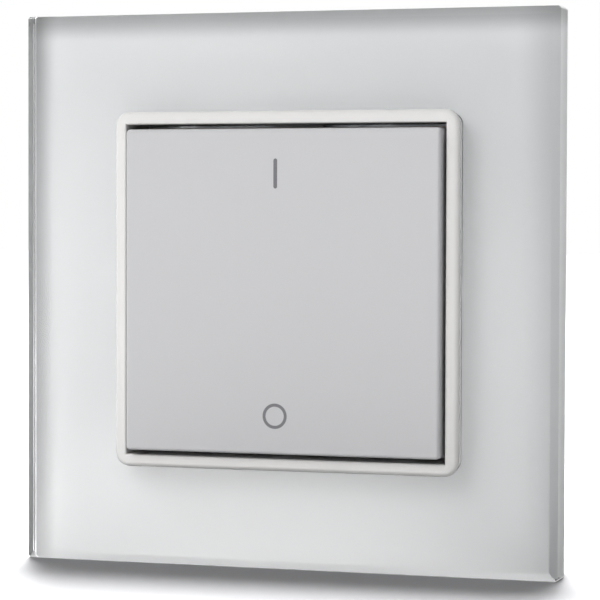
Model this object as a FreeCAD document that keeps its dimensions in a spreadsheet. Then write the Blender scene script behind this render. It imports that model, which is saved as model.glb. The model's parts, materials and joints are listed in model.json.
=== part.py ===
import FreeCAD, Part
import math
import os
import re
import Sketcher

# A flush-mounted pushbutton dimmer for LED lamps, in a square glass frame.
# Millimetres. X points right, Z points up and Y points into the wall, so the front faces -Y.
# The origin is on the wall's surface, at the middle of the support plate.
# Depths are written as a height above the wall: 0 on the wall, positive towards the user,
# negative inside the wall box.

# The driving dimensions: alias, size and what it measures.
DRIVING = (
    ("frame_width", 86.0, "side of the square glass"),
    ("glass_thickness", 5.0, "thickness of the glass"),
    ("glass_corner", 0.5, "outline radius at the corners of the glass"),
    ("glass_arris", 0.25, "polished bevel round the front of the glass"),
    ("glass_back_arris", 0.2, "small bevel round the back of the glass"),
    ("opening_width", 54.6, "side of the square opening in the glass"),
    ("opening_corner", 1.8, "radius at the corners of that opening"),
    ("tape_thickness", 0.4, "adhesive tape between glass and carrier"),
    ("tape_width", 7.0, "width of a tape strip"),
    ("tape_length", 58.0, "length of a tape strip"),
    ("carrier_depth", 5.6, "wall to the front of the frame carrier"),
    ("carrier_floor", 1.6, "thickness of the carrier's front wall"),
    ("carrier_wall", 2.0, "thickness of the carrier's rim"),
    ("carrier_inset", 1.3, "how far the carrier stays inside the edge of the glass"),
    ("carrier_corner", 2.0, "radius at the corners of the carrier"),
    ("carrier_clearance", 0.2, "extra opening of the carrier round the bezel"),
    ("locator_clearance", 0.3, "gap from the carrier's locating ring to the support plate"),
    ("locator_wall", 1.2, "thickness of the locating ring"),
    ("rib_thickness", 1.2, "thickness of the carrier's stiffening ribs"),
    ("rib_offset", 18.0, "distance of those ribs from the middle"),
    ("rim_overlap", 0.5, "how far the bezel's rim laps over the glass"),
    ("rim_band", 2.0, "width of that rim"),
    ("rim_height", 1.0, "how far the rim stands in front of the glass"),
    ("rim_corner", 2.3, "outline radius at the corners of the rim"),
    ("rim_slope", 1.2, "width of the outer part of the rim's front, which falls away"),
    ("rim_fall", 0.2, "how far the rim's front falls to its outer edge"),
    ("rim_crown", 0.9, "rounding of the rim's outer front edge"),
    ("rim_inner_crown", 0.3, "rounding of the rim's inner front edge"),
    ("skirt_clearance", 0.3, "gap between the bezel's skirt and the glass"),
    ("skirt_end", 2.0, "height of the skirt's rear end above the wall"),
    ("latch_width", 8.0, "width of a snap nose on the bezel"),
    ("latch_depth", 0.9, "how far the snap nose reaches in"),
    ("latch_height", 1.4, "height of the snap nose"),
    ("latch_play", 0.3, "gap round the snap nose in its window"),
    ("side_gap", 0.5, "gap between rocker and rim, left and right"),
    ("end_gap", 0.8, "gap between rocker and rim, above and below"),
    ("rocker_proud", 2.4, "how far the rocker stands in front of the glass"),
    ("rocker_depth", 5.8, "depth of the rocker's skirt from its front"),
    ("rocker_face", 1.8, "thickness of the rocker's front"),
    ("rocker_wall", 1.4, "thickness of the rocker's skirt"),
    ("rocker_corner", 0.6, "outline radius at the corners of the rocker"),
    ("rocker_edge", 0.5, "rounding of the rocker's front edge"),
    ("rocker_rib", 1.2, "thickness of the rocker's inner ribs"),
    ("pivot_height", 8.0, "height of the rocker's axis above the wall"),
    ("trunnion_diameter", 3.0, "diameter of the rocker's pivot pins"),
    ("trunnion_length", 2.2, "length of a pivot pin"),
    ("pivot_fit", 0.05, "radial running clearance at the pivot"),
    ("cheek_offset", 15.0, "distance of the rocker's pivot cheeks from the middle"),
    ("cheek_thickness", 1.6, "thickness of a pivot cheek"),
    ("cheek_width", 7.0, "width of a pivot cheek"),
    ("cheek_gap", 0.3, "gap between cheek and lug"),
    ("lug_thickness", 2.6, "thickness of a pivot lug on the base"),
    ("lug_width", 6.0, "width of a pivot lug"),
    ("tilt_room", 1.6, "room behind the rocker's skirt for its swing"),
    ("lever_arm", 15.0, "distance of the plungers from the rocker's axis"),
    ("plunger_diameter", 5.0, "diameter of a plunger's head"),
    ("plunger_head", 3.4, "length of a plunger's head"),
    ("plunger_dome", 0.9, "height of a plunger's pointed tip"),
    ("plunger_point", 1.0, "diameter at the very end of that tip"),
    ("plunger_gap", 0.05, "play between a plunger and the rocker"),
    ("plunger_fit", 0.1, "radial running clearance of a plunger"),
    ("stem_diameter", 2.4, "diameter of a plunger's stem"),
    ("stem_fit", 0.2, "radial clearance round the stem"),
    ("press_travel", 0.66, "travel of a plunger each way"),
    ("contact_gap", 0.03, "gap left between stem and snap dome at full travel"),
    ("guide_wall", 1.2, "wall of a plunger's guide tube"),
    ("spring_wire", 0.4, "wire of a return spring"),
    ("spring_outer", 4.4, "outer diameter of a return spring"),
    ("spring_turns", 3.0, "turns of a return spring"),
    ("dome_diameter", 6.0, "diameter of a snap dome"),
    ("dome_height", 0.4, "height of a snap dome"),
    ("dome_metal", 0.12, "thickness of a snap dome's metal"),
    ("plate_width", 71.0, "side of the support plate"),
    ("plate_thickness", 1.0, "thickness of the support plate"),
    ("plate_corner", 4.0, "radius at the corners of the support plate"),
    ("plate_lap", 3.0, "how far the housing passes the opening of the support plate"),
    ("opening_cut", 4.0, "corner cut of that opening"),
    ("wall_screw_spacing", 60.0, "distance between the fixing slots of a wall box"),
    ("slot_width", 3.6, "width of a fixing slot"),
    ("slot_length", 6.4, "length of a fixing slot"),
    ("flange_height", 0.8, "height of the stiffening flanges on the support plate"),
    ("flange_length", 50.0, "length of a stiffening flange"),
    ("base_clearance", 0.4, "gap between the base and the bezel's skirt"),
    ("base_floor", 1.4, "thickness of the base's floor"),
    ("base_wall", 1.4, "thickness of the base's wall"),
    ("base_corner", 1.6, "radius at the corners of the base"),
    ("spigot_clearance", 0.2, "gap between the base's spigot and the support plate"),
    ("board_gap", 0.6, "room in front of the control board"),
    ("foot_width", 2.0, "side of the feet that hold the control board"),
    ("foot_across", 10.0, "distance of those feet from the middle, across"),
    ("foot_margin", 2.2, "distance of those feet from the edge of the spigot"),
    ("housing_width", 46.0, "side of the housing in the wall box"),
    ("housing_cut", 8.0, "corner cut of the housing"),
    ("housing_depth", 24.0, "depth of the housing behind the wall's surface"),
    ("housing_wall", 1.6, "wall of the housing"),
    ("housing_edge", 1.0, "rounding of the housing's rear edge"),
    ("boss_inset", 2.5, "how far a screw boss lies inside the cut corner, both ways"),
    ("boss_diameter", 6.0, "diameter of a screw boss"),
    ("ledge_width", 3.0, "width of a ledge that carries the control board"),
    ("ledge_depth", 1.0, "how far a ledge stands out of the housing's wall"),
    ("ledge_spacing", 8.5, "distance of a ledge from the screw boss beside it, up"),
    ("screw_diameter", 2.6, "diameter of a housing screw"),
    ("screw_depth", 10.0, "depth of a screw hole in a boss"),
    ("screw_tip_gap", 0.3, "gap between a screw's tip and the end of its hole"),
    ("screw_head", 4.6, "diameter of a housing screw's head"),
    ("screw_head_height", 1.6, "height of that head"),
    ("screw_fit", 0.05, "radial clearance of the screws in their holes"),
    ("drive_size", 1.0, "width of the arms of a cross recess"),
    ("drive_reach", 2.6, "span of a cross recess"),
    ("drive_depth", 0.9, "depth of a cross recess"),
    ("board_thickness", 1.2, "thickness of the control board"),
    ("board_play", 0.5, "gap between the control board and the housing"),
    ("power_board_thickness", 1.6, "thickness of the power board"),
    ("tail_length", 0.8, "length of a cage's solder tail, which sets the board off the cage"),
    ("power_board_play", 1.3, "gap between the power board and the housing"),
    ("boss_play", 0.4, "gap between a board and the screw bosses"),
    ("post_margin", 2.8, "distance of the posts from the edge of the power board"),
    ("post_diameter", 4.4, "diameter of a post"),
    ("board_screw", 2.0, "diameter of a board screw"),
    ("board_screw_head", 3.6, "diameter of a board screw's head"),
    ("board_screw_head_height", 1.3, "height of a board screw's head"),
    ("board_screw_length", 6.0, "length of a board screw under its head"),
    ("choke_post_gap", 0.35, "distance of the winding from the middle of a post, across"),
    ("choke_middle_gap", 1.25, "distance of the winding from the middle of the board"),
    ("choke_from_boss", 9.3, "distance of the choke from the screw boss beside it, up"),
    ("choke_section", 3.3, "width of the choke's core from its hole to its outside"),
    ("choke_headroom", 3.5, "room between the winding and the control board"),
    ("winding_thickness", 0.8, "thickness of the winding on the core"),
    ("winding_gap", 0.05, "varnish gap between winding and core"),
    ("winding_opening", 50.0, "angle that the winding leaves free, in degrees"),
    ("film_start", 1.1, "distance of the film capacitor from the middle of the board"),
    ("film_can_gap", 2.3, "gap between the two capacitors"),
    ("film_lead_inset", 1.5, "distance of its leads from its ends"),
    ("film_post_gap", 3.2, "distance of the film capacitor from the middle of a post"),
    ("film_boss_gap", 4.0, "distance of its upper side below the middle of a screw boss"),
    ("film_headroom", 1.1, "room between the film capacitor and the control board"),
    ("can_from_post", 7.1, "distance of the electrolytic capacitor from a post, across"),
    ("can_up", -0.4, "place of the electrolytic capacitor, up"),
    ("can_diameter", 8.0, "diameter of the electrolytic capacitor"),
    ("can_headroom", 1.2, "room between this capacitor and the control board"),
    ("groove_depth", 0.5, "depth of the groove near the can's foot"),
    ("groove_width", 0.8, "width of that groove"),
    ("groove_start", 1.2, "height of that groove above the board"),
    ("fuse_from_post", 7.9, "distance of the fuse from a post, across"),
    ("fuse_up", -6.0, "place of the fuse, up"),
    ("fuse_diameter", 3.4, "diameter of the fuse"),
    ("fuse_cap_diameter", 3.8, "diameter of a fuse cap"),
    ("fuse_length", 11.0, "length of the fuse"),
    ("fuse_cap_length", 2.4, "length of a fuse cap"),
    ("varistor_from_boss", 5.5, "distance of the varistor from a screw boss, across"),
    ("varistor_up", -9.4, "place of the varistor, up"),
    ("varistor_diameter", 7.4, "diameter of the varistor"),
    ("varistor_thickness", 3.6, "thickness of the varistor"),
    ("lead_size", 0.6, "side of a component's lead"),
    ("lead_height", 0.5, "height of a component above its board"),
    ("header_up", -11.6, "place of the connector between the boards, up"),
    ("pin_pitch", 2.54, "pitch of the pins between the boards"),
    ("pin_size", 0.64, "side of a connector pin"),
    ("header_width", 12.7, "width of the connector between the boards"),
    ("header_depth", 2.5, "depth of that connector"),
    ("header_height", 2.5, "height of the connector's body"),
    ("mosfet_width", 6.6, "width of a power transistor"),
    ("mosfet_length", 6.1, "length of a power transistor"),
    ("mosfet_height", 2.3, "height of a power transistor"),
    ("mosfet_spread", 6.5, "distance of the transistors from the middle"),
    ("mosfet_up", 4.5, "height of the transistors above the middle"),
    ("pad_thickness", 0.7, "thickness of the thermal pad"),
    ("pad_margin", 1.0, "how far the pad passes the transistors"),
    ("sink_post_gap", 4.3, "distance of the heat sink from the middle of a post"),
    ("sink_length", 15.0, "length of the heat sink"),
    ("sink_base", 1.5, "thickness of the heat sink's base"),
    ("fin_thickness", 1.2, "thickness of a fin"),
    ("fin_margin", 2.4, "distance of the outer fins from the edge of the heat sink"),
    ("cage_gap", 2.0, "gap between two clamp cages"),
    ("terminal_boss_gap", 0.5, "gap between the terminal block and the screw bosses"),
    ("terminal_margin", 1.4, "distance of the terminal block from the housing's lower wall"),
    ("terminal_length", 11.0, "distance between the block's upper and lower faces"),
    ("terminal_fit", 0.15, "gap between the block and its window"),
    ("terminal_side", 2.0, "how far the block passes the outer cages"),
    ("cage_length", 9.0, "length of a clamp cage"),
    ("cage_height", 5.6, "height of a clamp cage"),
    ("cage_play", 0.2, "gap round a cage in its pocket"),
    ("terminal_wall", 3.6, "rear wall of the terminal block"),
    ("wire_entry", 3.6, "diameter of a wire entry"),
    ("wire_bore", 3.0, "diameter of the bore in a cage"),
    ("wire_margin", 3.2, "distance of the wire entries from the block's lower face"),
    ("clamp_margin", 3.4, "distance of the terminal screws from the block's upper face"),
    ("clamp_diameter", 2.5, "diameter of a terminal screw"),
    ("clamp_head", 4.0, "diameter of a terminal screw's head"),
    ("clamp_head_height", 1.6, "height of a terminal screw's head"),
    ("clamp_sink", 1.0, "how deep a terminal screw's head lies in the block"),
    ("clamp_length", 5.4, "length of a terminal screw under its head"),
    ("clamp_slot", 0.7, "width of the slot in a terminal screw"),
    ("tail_size", 0.9, "side of a cage's solder tail"),
    ("cage_wall", 1.0, "front wall of a cage"),
    ("chip_across", -6.0, "place of the control chip, across"),
    ("chip_up", 4.0, "place of the control chip, up"),
    ("chip_width", 5.0, "length of the control chip"),
    ("chip_length", 4.0, "width of the control chip"),
    ("chip_height", 1.5, "height of the control chip"),
    ("chip_pitch", 1.27, "pitch of the chip's leads"),
    ("chip_lead", 0.4, "width of a chip's lead"),
    ("part_length", 2.0, "length of a surface-mounted part"),
    ("part_width", 1.2, "width of a surface-mounted part"),
    ("part_height", 0.6, "height of a surface-mounted part"),
    ("part_pitch", 3.2, "distance between these parts, across"),
    ("part_row", 2.6, "distance between their two rows"),
    ("parts_down", 7.3, "distance of the two rows below the middle"),
)

# Sizes that follow from the driving ones, written with their aliases.
DERIVED = {
    "glass_back": "carrier_depth + tape_thickness",
    "glass_front": "glass_back + glass_thickness",
    "rim_front": "glass_front + rim_height",
    "rim_outer": "opening_width + 2 * rim_overlap",
    "rim_inner": "rim_outer - 2 * rim_band",
    "skirt_outer": "opening_width - 2 * skirt_clearance",
    "rocker_width": "rim_inner - 2 * side_gap",
    "rocker_height": "rim_inner - 2 * end_gap",
    "rocker_front": "glass_front + rocker_proud",
    "rocker_back": "rocker_front - rocker_depth",
    "rocker_inside": "rocker_front - rocker_face",
    "carrier_width": "frame_width - 2 * carrier_inset",
    "carrier_opening": "opening_width + 2 * carrier_clearance",
    "locator_inner": "plate_width + 2 * locator_clearance",
    "base_width": "rim_inner - 2 * base_clearance",
    "base_front": "rocker_back - tilt_room",
    "floor_front": "plate_thickness + base_floor",
    "plate_opening": "housing_width - 2 * plate_lap",
    "spigot_width": "plate_opening - 2 * spigot_clearance",
    "foot_up": "spigot_width / 2 - foot_margin",
    "window_width": "latch_width + 2 * latch_play",
    "latch_back": "floor_front + latch_play",
    "latch_front": "latch_back + latch_height",
    "lug_inner": "cheek_offset + cheek_gap",
    "guide_bore": "plunger_diameter + 2 * plunger_fit",
    "guide_outer": "guide_bore + 2 * guide_wall",
    "plunger_tip": "pivot_height - plunger_gap",
    "head_back": "plunger_tip - plunger_head",
    "board_front": "-board_gap",
    "board_back": "board_front - board_thickness",
    "dome_front": "board_front + dome_height",
    "stem_end": "dome_front + contact_gap + press_travel",
    "housing_inner": "housing_width - 2 * housing_wall",
    "inner_cut": "housing_cut - (2 - sqrt(2)) * housing_wall",
    "housing_floor": "housing_wall - housing_depth",
    "boss_offset": "(housing_width - housing_cut) / 2 - boss_inset",
    "ledge_offset": "boss_offset - ledge_spacing",
    "board_width": "housing_inner - 2 * board_play",
    "power_width": "housing_inner - 2 * power_board_play",
    "boss_reach": "2 * boss_offset - sqrt(2) * (boss_diameter / 2 + boss_play)",
    "board_cut": "board_width - boss_reach",
    "power_cut": "power_width - boss_reach",
    "pocket_floor": "terminal_wall - housing_depth",
    "cage_front": "pocket_floor + cage_height",
    "power_back": "cage_front + tail_length",
    "power_front": "power_back + power_board_thickness",
    "board_room": "board_back - power_front",
    "post_offset": "power_width / 2 - post_margin",
    "wound_size": "post_offset - choke_post_gap - choke_middle_gap",
    "winding_room": "2 * (winding_thickness + winding_gap)",
    "choke_outer": "wound_size - winding_room",
    "choke_inner": "choke_outer - 2 * choke_section",
    "choke_height": "board_room - choke_headroom - winding_room",
    "choke_across": "-(choke_middle_gap + wound_size / 2)",
    "choke_up": "boss_offset - choke_from_boss",
    "can_across": "post_offset - can_from_post",
    "can_height": "board_room - can_headroom",
    "film_length": "post_offset - film_post_gap - film_start",
    "film_across": "film_start + film_length / 2",
    "film_lead_offset": "film_length / 2 - film_lead_inset",
    "film_top": "boss_offset - film_boss_gap",
    "film_low": "can_up + can_diameter / 2 + film_can_gap",
    "film_width": "film_top - film_low",
    "film_up": "(film_top + film_low) / 2",
    "film_height": "board_room - lead_height - film_headroom",
    "fuse_across": "fuse_from_post - post_offset",
    "varistor_across": "boss_offset - varistor_from_boss",
    "screw_hole": "screw_diameter + 2 * screw_fit",
    "board_hole": "board_screw + 2 * screw_fit",
    "pad_front": "power_back - mosfet_height",
    "sink_front": "pad_front - pad_thickness",
    "sink_width": "2 * (post_offset - sink_post_gap)",
    "fin_pitch": "(sink_width - fin_thickness - 2 * fin_margin) / 4",
    "terminal_width": "2 * (boss_offset - terminal_boss_gap) - boss_diameter",
    "terminal_low": "housing_inner / 2 - terminal_margin",
    "terminal_high": "terminal_low - terminal_length",
    "terminal_middle": "terminal_length / 2 - terminal_low",
    "cage_width": "(terminal_width - 2 * cage_gap - 2 * terminal_side) / 3",
    "terminal_pitch": "cage_width + cage_gap",
    "wire_down": "terminal_low - wire_margin",
    "clamp_down": "terminal_high + clamp_margin",
    "clamp_head_back": "clamp_sink - housing_depth",
    "clamp_head_front": "clamp_head_back + clamp_head_height",
}

FRONT = "XZ_Plane"
SIDE = "YZ_Plane"
TOP = "XY_Plane"
SIGNS = (-1, 1)
TOUCH = 1e-4

doc = FreeCAD.newDocument("pushbutton_dimmer")
sizes = doc.addObject("Spreadsheet::Sheet", "Sizes")
for row, (alias, number, note) in enumerate(DRIVING, start=1):
    sizes.set(f"A{row}", note)
    sizes.set(f"B{row}", str(number))
    sizes.setAlias(f"B{row}", alias)
doc.recompute()

ALIASES = {alias for alias, number, note in DRIVING}
pieces = []


def bind(text):
    """Turns a text written with size names into an expression on the sheet."""
    def swap(match):
        word = match.group(0)
        if word in ALIASES:
            return "Sizes." + word
        if word in DERIVED:
            return "(" + bind(DERIVED[word]) + ")"
        return word
    return re.sub(r"[a-z][a-z_]*", swap, str(text))


def value(text):
    """The number that such a text stands for."""
    return float(sizes.evalExpression(bind(text)))


def tie(thing, target, text):
    """Binds one property of an object to the sheet."""
    thing.setExpression(target, bind(text))


def finished(thing, label):
    """Names an object as one piece of the dimmer."""
    thing.Label = label
    pieces.append(thing)
    return thing


# Outlines of sketches


def fix_point(sketch, index, point, across, up):
    """Holds one point of a sketch at two distances from its origin."""
    for kind, text in (("DistanceX", across), ("DistanceY", up)):
        rule = Sketcher.Constraint(kind, -1, 1, index, point, value(text))
        number = sketch.addConstraint(rule)
        tie(sketch, f"Constraints[{number}]", text)


def polygon(corners):
    """A closed outline through corners that are given as texts."""
    def draw(sketch):
        spots = [FreeCAD.Vector(value(across), value(up), 0) for across, up in corners]
        count = len(spots)
        first = sketch.GeometryCount
        for number, spot in enumerate(spots):
            sketch.addGeometry(Part.LineSegment(spot, spots[(number + 1) % count]), False)
        for number, (across, up) in enumerate(corners):
            after = first + (number + 1) % count
            sketch.addConstraint(Sketcher.Constraint("Coincident", first + number, 2, after, 1))
            fix_point(sketch, first + number, 1, across, up)
    return draw


def rectangle(across, up, width, height):
    """A rectangle round a middle point."""
    left = f"({across}) - ({width}) / 2"
    right = f"({across}) + ({width}) / 2"
    low = f"({up}) - ({height}) / 2"
    high = f"({up}) + ({height}) / 2"
    return polygon(((left, low), (right, low), (right, high), (left, high)))


def square(width):
    """A square round the origin."""
    return rectangle("0", "0", width, width)


def octagon(width, cut):
    """A square round the origin whose corners are cut off."""
    far = f"({width}) / 2"
    near = f"({width}) / 2 - ({cut})"
    corners = []
    for first, second in ((far, near), (near, far)):
        corners.append((first, second))
    corners += [(f"-({near})", far), (f"-({far})", near)]
    corners += [(f"-({far})", f"-({near})"), (f"-({near})", f"-({far})")]
    corners += [(near, f"-({far})"), (far, f"-({near})")]
    return polygon(corners)


def circle(across, up, diameter):
    """A circle."""
    def draw(sketch):
        centre = FreeCAD.Vector(value(across), value(up), 0)
        round_line = Part.Circle(centre, FreeCAD.Vector(0, 0, 1), value(diameter) / 2)
        index = sketch.addGeometry(round_line, False)
        fix_point(sketch, index, 3, across, up)
        number = sketch.addConstraint(Sketcher.Constraint("Diameter", index, value(diameter)))
        tie(sketch, f"Constraints[{number}]", diameter)
    return draw


def slot(across, up, length, width, turn):
    """A hole with round ends, level at a turn of 0 and upright at a quarter turn."""
    def draw(sketch):
        normal = FreeCAD.Vector(0, 0, 1)
        along = FreeCAD.Vector(math.cos(turn), math.sin(turn), 0)
        beside = FreeCAD.Vector(-along.y, along.x, 0)
        middle = FreeCAD.Vector(value(across), value(up), 0)
        radius = value(width) / 2
        centres = [middle + along * sign * (value(length) / 2 - radius) for sign in (1, -1)]
        ends = []
        for centre, start in zip(centres, (turn - math.pi / 2, turn + math.pi / 2)):
            bow = Part.ArcOfCircle(Part.Circle(centre, normal, radius), start, start + math.pi)
            ends.append(sketch.addGeometry(bow, False))
        top = Part.LineSegment(centres[0] + beside * radius, centres[1] + beside * radius)
        low = Part.LineSegment(centres[1] - beside * radius, centres[0] - beside * radius)
        chain = [ends[0], sketch.addGeometry(top, False), ends[1], sketch.addGeometry(low, False)]
        for before, after in zip(chain, chain[1:] + chain[:1]):
            sketch.addConstraint(Sketcher.Constraint("Tangent", before, 2, after, 1))
        sketch.addConstraint(Sketcher.Constraint("Equal", *ends))
        number = sketch.addConstraint(Sketcher.Constraint("Diameter", ends[0], value(width)))
        tie(sketch, f"Constraints[{number}]", width)
        for end, sign in zip(ends, (1, -1)):
            reach = f"{sign} * (({length}) - ({width})) / 2"
            level = f"({across}) + {round(along.x)} * {reach}"
            fix_point(sketch, end, 3, level, f"({up}) + {round(along.y)} * {reach}")
    return draw


# Features of a body


def new_body(label):
    """A body that becomes one piece."""
    return finished(doc.addObject("PartDesign::Body", label), label)


def add_sketch(body, name, role, offset, outlines):
    """A sketch on one of the body's own origin planes, moved along its normal."""
    sketch = body.newObject("Sketcher::SketchObject", name + "_sketch")
    plane = [item for item in body.Origin.OriginFeatures if item.Role == role][0]
    sketch.AttachmentSupport = (plane, [""])
    sketch.MapMode = "FlatFace"
    tie(sketch, "AttachmentOffset.Base.z", offset)
    for outline in outlines:
        outline(sketch)
    return sketch


def pad(body, name, start, end, outlines, role=FRONT):
    """Adds material from start to end, measured along the plane's normal."""
    sketch = add_sketch(body, name, role, start, outlines)
    feature = body.newObject("PartDesign::Pad", name)
    feature.Profile = sketch
    tie(feature, "Length", f"({end}) - ({start})")
    doc.recompute()
    return feature


def pocket(body, name, start, end, outlines, role=FRONT):
    """Removes material from start to end, measured along the plane's normal."""
    before = body.Shape.Volume
    sketch = add_sketch(body, name, role, end, outlines)
    feature = body.newObject("PartDesign::Pocket", name)
    feature.Profile = sketch
    tie(feature, "Length", f"({end}) - ({start})")
    doc.recompute()
    if body.Shape.Volume > before - TOUCH:
        raise RuntimeError(name + " removes nothing")
    return feature


def dress(body, kind, name, amount, chosen):
    """Rounds or bevels those edges of the body for which chosen is true."""
    base = body.Tip
    names = []
    for number, edge in enumerate(base.Shape.Edges, start=1):
        if chosen(edge):
            names.append(f"Edge{number}")
    if not names:
        raise RuntimeError(name + " finds no edge")
    feature = body.newObject("PartDesign::" + kind, name)
    feature.Base = (base, names)
    tie(feature, "Radius" if kind == "Fillet" else "Size", amount)
    doc.recompute()
    return feature


def corner_edges(width, height=None):
    """Picks the edges along the depth at the corners of a rectangle round the origin."""
    half_width = value(width) / 2
    half_height = value(height or width) / 2
    def chosen(edge):
        limits = edge.BoundBox
        thin = limits.XLength < TOUCH and limits.ZLength < TOUCH
        out = abs(abs(limits.XMin) - half_width) < TOUCH
        return thin and out and abs(abs(limits.ZMin) - half_height) < TOUCH
    return chosen


def loop_edges(body, height, outer=True):
    """Picks the outer or the inner loops of the faces in one plane parallel to the wall."""
    picked = []
    for face in body.Tip.Shape.Faces:
        limits = face.BoundBox
        if limits.YLength < TOUCH and abs(limits.YMin + value(height)) < TOUCH:
            for wire in face.Wires:
                if wire.isSame(face.OuterWire) == outer:
                    picked += wire.Edges
    return lambda edge: any(edge.isSame(other) for other in picked)


def level_edges(height):
    """Picks the edges that lie in one plane parallel to the wall."""
    def chosen(edge):
        limits = edge.BoundBox
        return limits.YLength < TOUCH and abs(limits.YMin + value(height)) < TOUCH
    return chosen


# Solids of simple shape


def box(name, across, up, back, width, height, depth):
    """A box round a middle point, from a given depth towards the front."""
    solid = doc.addObject("Part::Box", name)
    tie(solid, "Length", width)
    tie(solid, "Width", depth)
    tie(solid, "Height", height)
    tie(solid, "Placement.Base.x", f"({across}) - ({width}) / 2")
    tie(solid, "Placement.Base.y", f"-({back}) - ({depth})")
    tie(solid, "Placement.Base.z", f"({up}) - ({height}) / 2")
    return solid


def rod(name, across, up, back, diameter, length):
    """A cylinder along the depth, from a given depth towards the front."""
    solid = doc.addObject("Part::Cylinder", name)
    tie(solid, "Radius", f"({diameter}) / 2")
    tie(solid, "Height", length)
    turn_to_front(solid, across, up, back)
    return solid


def cone(name, across, up, back, back_diameter, front_diameter, length):
    """A cone along the depth, from a given depth towards the front."""
    solid = doc.addObject("Part::Cone", name)
    tie(solid, "Radius1", f"({back_diameter}) / 2")
    tie(solid, "Radius2", f"({front_diameter}) / 2")
    tie(solid, "Height", length)
    turn_to_front(solid, across, up, back)
    return solid


def turn_to_front(solid, across, up, back):
    """Points a solid's own axis to the front and puts its foot in place."""
    solid.Placement.Rotation = FreeCAD.Rotation(FreeCAD.Vector(1, 0, 0), 90)
    tie(solid, "Placement.Base.x", across)
    tie(solid, "Placement.Base.y", f"-({back})")
    tie(solid, "Placement.Base.z", up)


def rod_across(name, across, up, height, diameter, length):
    """A cylinder from left to right round a middle point."""
    solid = doc.addObject("Part::Cylinder", name)
    tie(solid, "Radius", f"({diameter}) / 2")
    tie(solid, "Height", length)
    solid.Placement.Rotation = FreeCAD.Rotation(FreeCAD.Vector(0, 1, 0), 90)
    tie(solid, "Placement.Base.x", f"({across}) - ({length}) / 2")
    tie(solid, "Placement.Base.y", f"-({height})")
    tie(solid, "Placement.Base.z", up)
    return solid


def fused(name, solids):
    """One solid out of several."""
    result = doc.addObject("Part::MultiFuse", name)
    result.Shapes = solids
    result.Refine = True
    return result


def cut(name, base, tool):
    """A solid with another one taken out of it."""
    result = doc.addObject("Part::Cut", name)
    result.Base = base
    result.Tool = tool
    return result


def group(label, solids):
    """Several like solids that share one node."""
    result = doc.addObject("Part::Compound", label)
    result.Links = solids
    return finished(result, label)


# The glass frame


def make_glass_panel():
    """The square of clear glass, back-painted, with a polished front bevel."""
    body = new_body("glass_panel")
    pad(body, "pane", "glass_back", "glass_front", [square("frame_width"), square("opening_width")])
    dress(body, "Fillet", "pane_corners", "glass_corner", corner_edges("frame_width"))
    dress(body, "Fillet", "pane_opening", "opening_corner", corner_edges("opening_width"))
    dress(body, "Chamfer", "front_arris", "glass_arris", loop_edges(body, "glass_front"))
    dress(body, "Chamfer", "back_arris", "glass_back_arris", loop_edges(body, "glass_back"))


def make_adhesive_strips():
    """Four strips of tape that bond the glass to its carrier."""
    offset = "(carrier_opening + carrier_width) / 4"
    strips = []
    for sign in SIGNS:
        place = f"{sign} * ({offset})"
        across = box("tape_across", "0", place, "carrier_depth",
                     "tape_length", "tape_width", "tape_thickness")
        upright = box("tape_upright", place, "0", "carrier_depth",
                      "tape_width", "carrier_opening - tape_width", "tape_thickness")
        strips += [across, upright]
    group("adhesive_strips", strips)


def make_frame_carrier():
    """The moulded tray behind the glass, which stands on the wall."""
    body = new_body("frame_carrier")
    pad(body, "rim", "0", "carrier_depth", [square("carrier_width")])
    dress(body, "Fillet", "rim_corners", "carrier_corner", corner_edges("carrier_width"))
    inside = "carrier_depth - carrier_floor"
    pocket(body, "hollow", "0", inside, [square("carrier_width - 2 * carrier_wall")])
    pocket(body, "opening", inside, "carrier_depth", [square("carrier_opening")])
    dress(body, "Fillet", "opening_corners", "opening_corner", corner_edges("carrier_opening"))
    locator_outer = "locator_inner + 2 * locator_wall"
    pad(body, "locator", "locator_clearance", inside,
        [square(locator_outer), square("locator_inner")])
    rim_inner_face = "(carrier_width / 2 - carrier_wall)"
    length = f"{rim_inner_face} - ({locator_outer}) / 2"
    middle = f"({rim_inner_face} + ({locator_outer}) / 2) / 2"
    ribs = []
    for side in SIGNS:
        for place in SIGNS:
            along = f"{place} * rib_offset"
            ribs.append(rectangle(f"{side} * ({middle})", along, length, "rib_thickness"))
            ribs.append(rectangle(along, f"{side} * ({middle})", "rib_thickness", length))
    pad(body, "ribs", "locator_clearance", inside, ribs)


def make_bezel():
    """The white inner frame that snaps on the base and holds the glass."""
    body = new_body("bezel")
    pad(body, "rim", "glass_front", "rim_front", [square("rim_outer"), square("rim_inner")])
    dress(body, "Fillet", "rim_corners", "rim_corner", corner_edges("rim_outer"))
    pad(body, "skirt", "skirt_end", "glass_front", [square("skirt_outer"), square("rim_inner")])
    skirt_corner = "opening_corner - skirt_clearance"
    dress(body, "Fillet", "skirt_corners", skirt_corner, corner_edges("skirt_outer"))
    slope = dress(body, "Chamfer", "slope", "rim_slope", loop_edges(body, "rim_front"))
    slope.ChamferType = "Two distances"
    tie(slope, "Size2", "rim_fall")
    slope.FlipDirection = True
    doc.recompute()
    dress(body, "Fillet", "crown", "rim_crown", level_edges("rim_front - rim_fall"))
    inside = loop_edges(body, "rim_front", outer=False)
    dress(body, "Fillet", "inner_crown", "rim_inner_crown", inside)
    reach = "(rim_inner - latch_depth) / 2"
    noses = []
    for sign in SIGNS:
        place = f"{sign} * {reach}"
        noses.append(rectangle(place, "0", "latch_depth", "latch_width"))
        noses.append(rectangle("0", place, "latch_width", "latch_depth"))
    pad(body, "noses", "latch_back", "latch_front", noses)


# The rocker and what it moves


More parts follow.
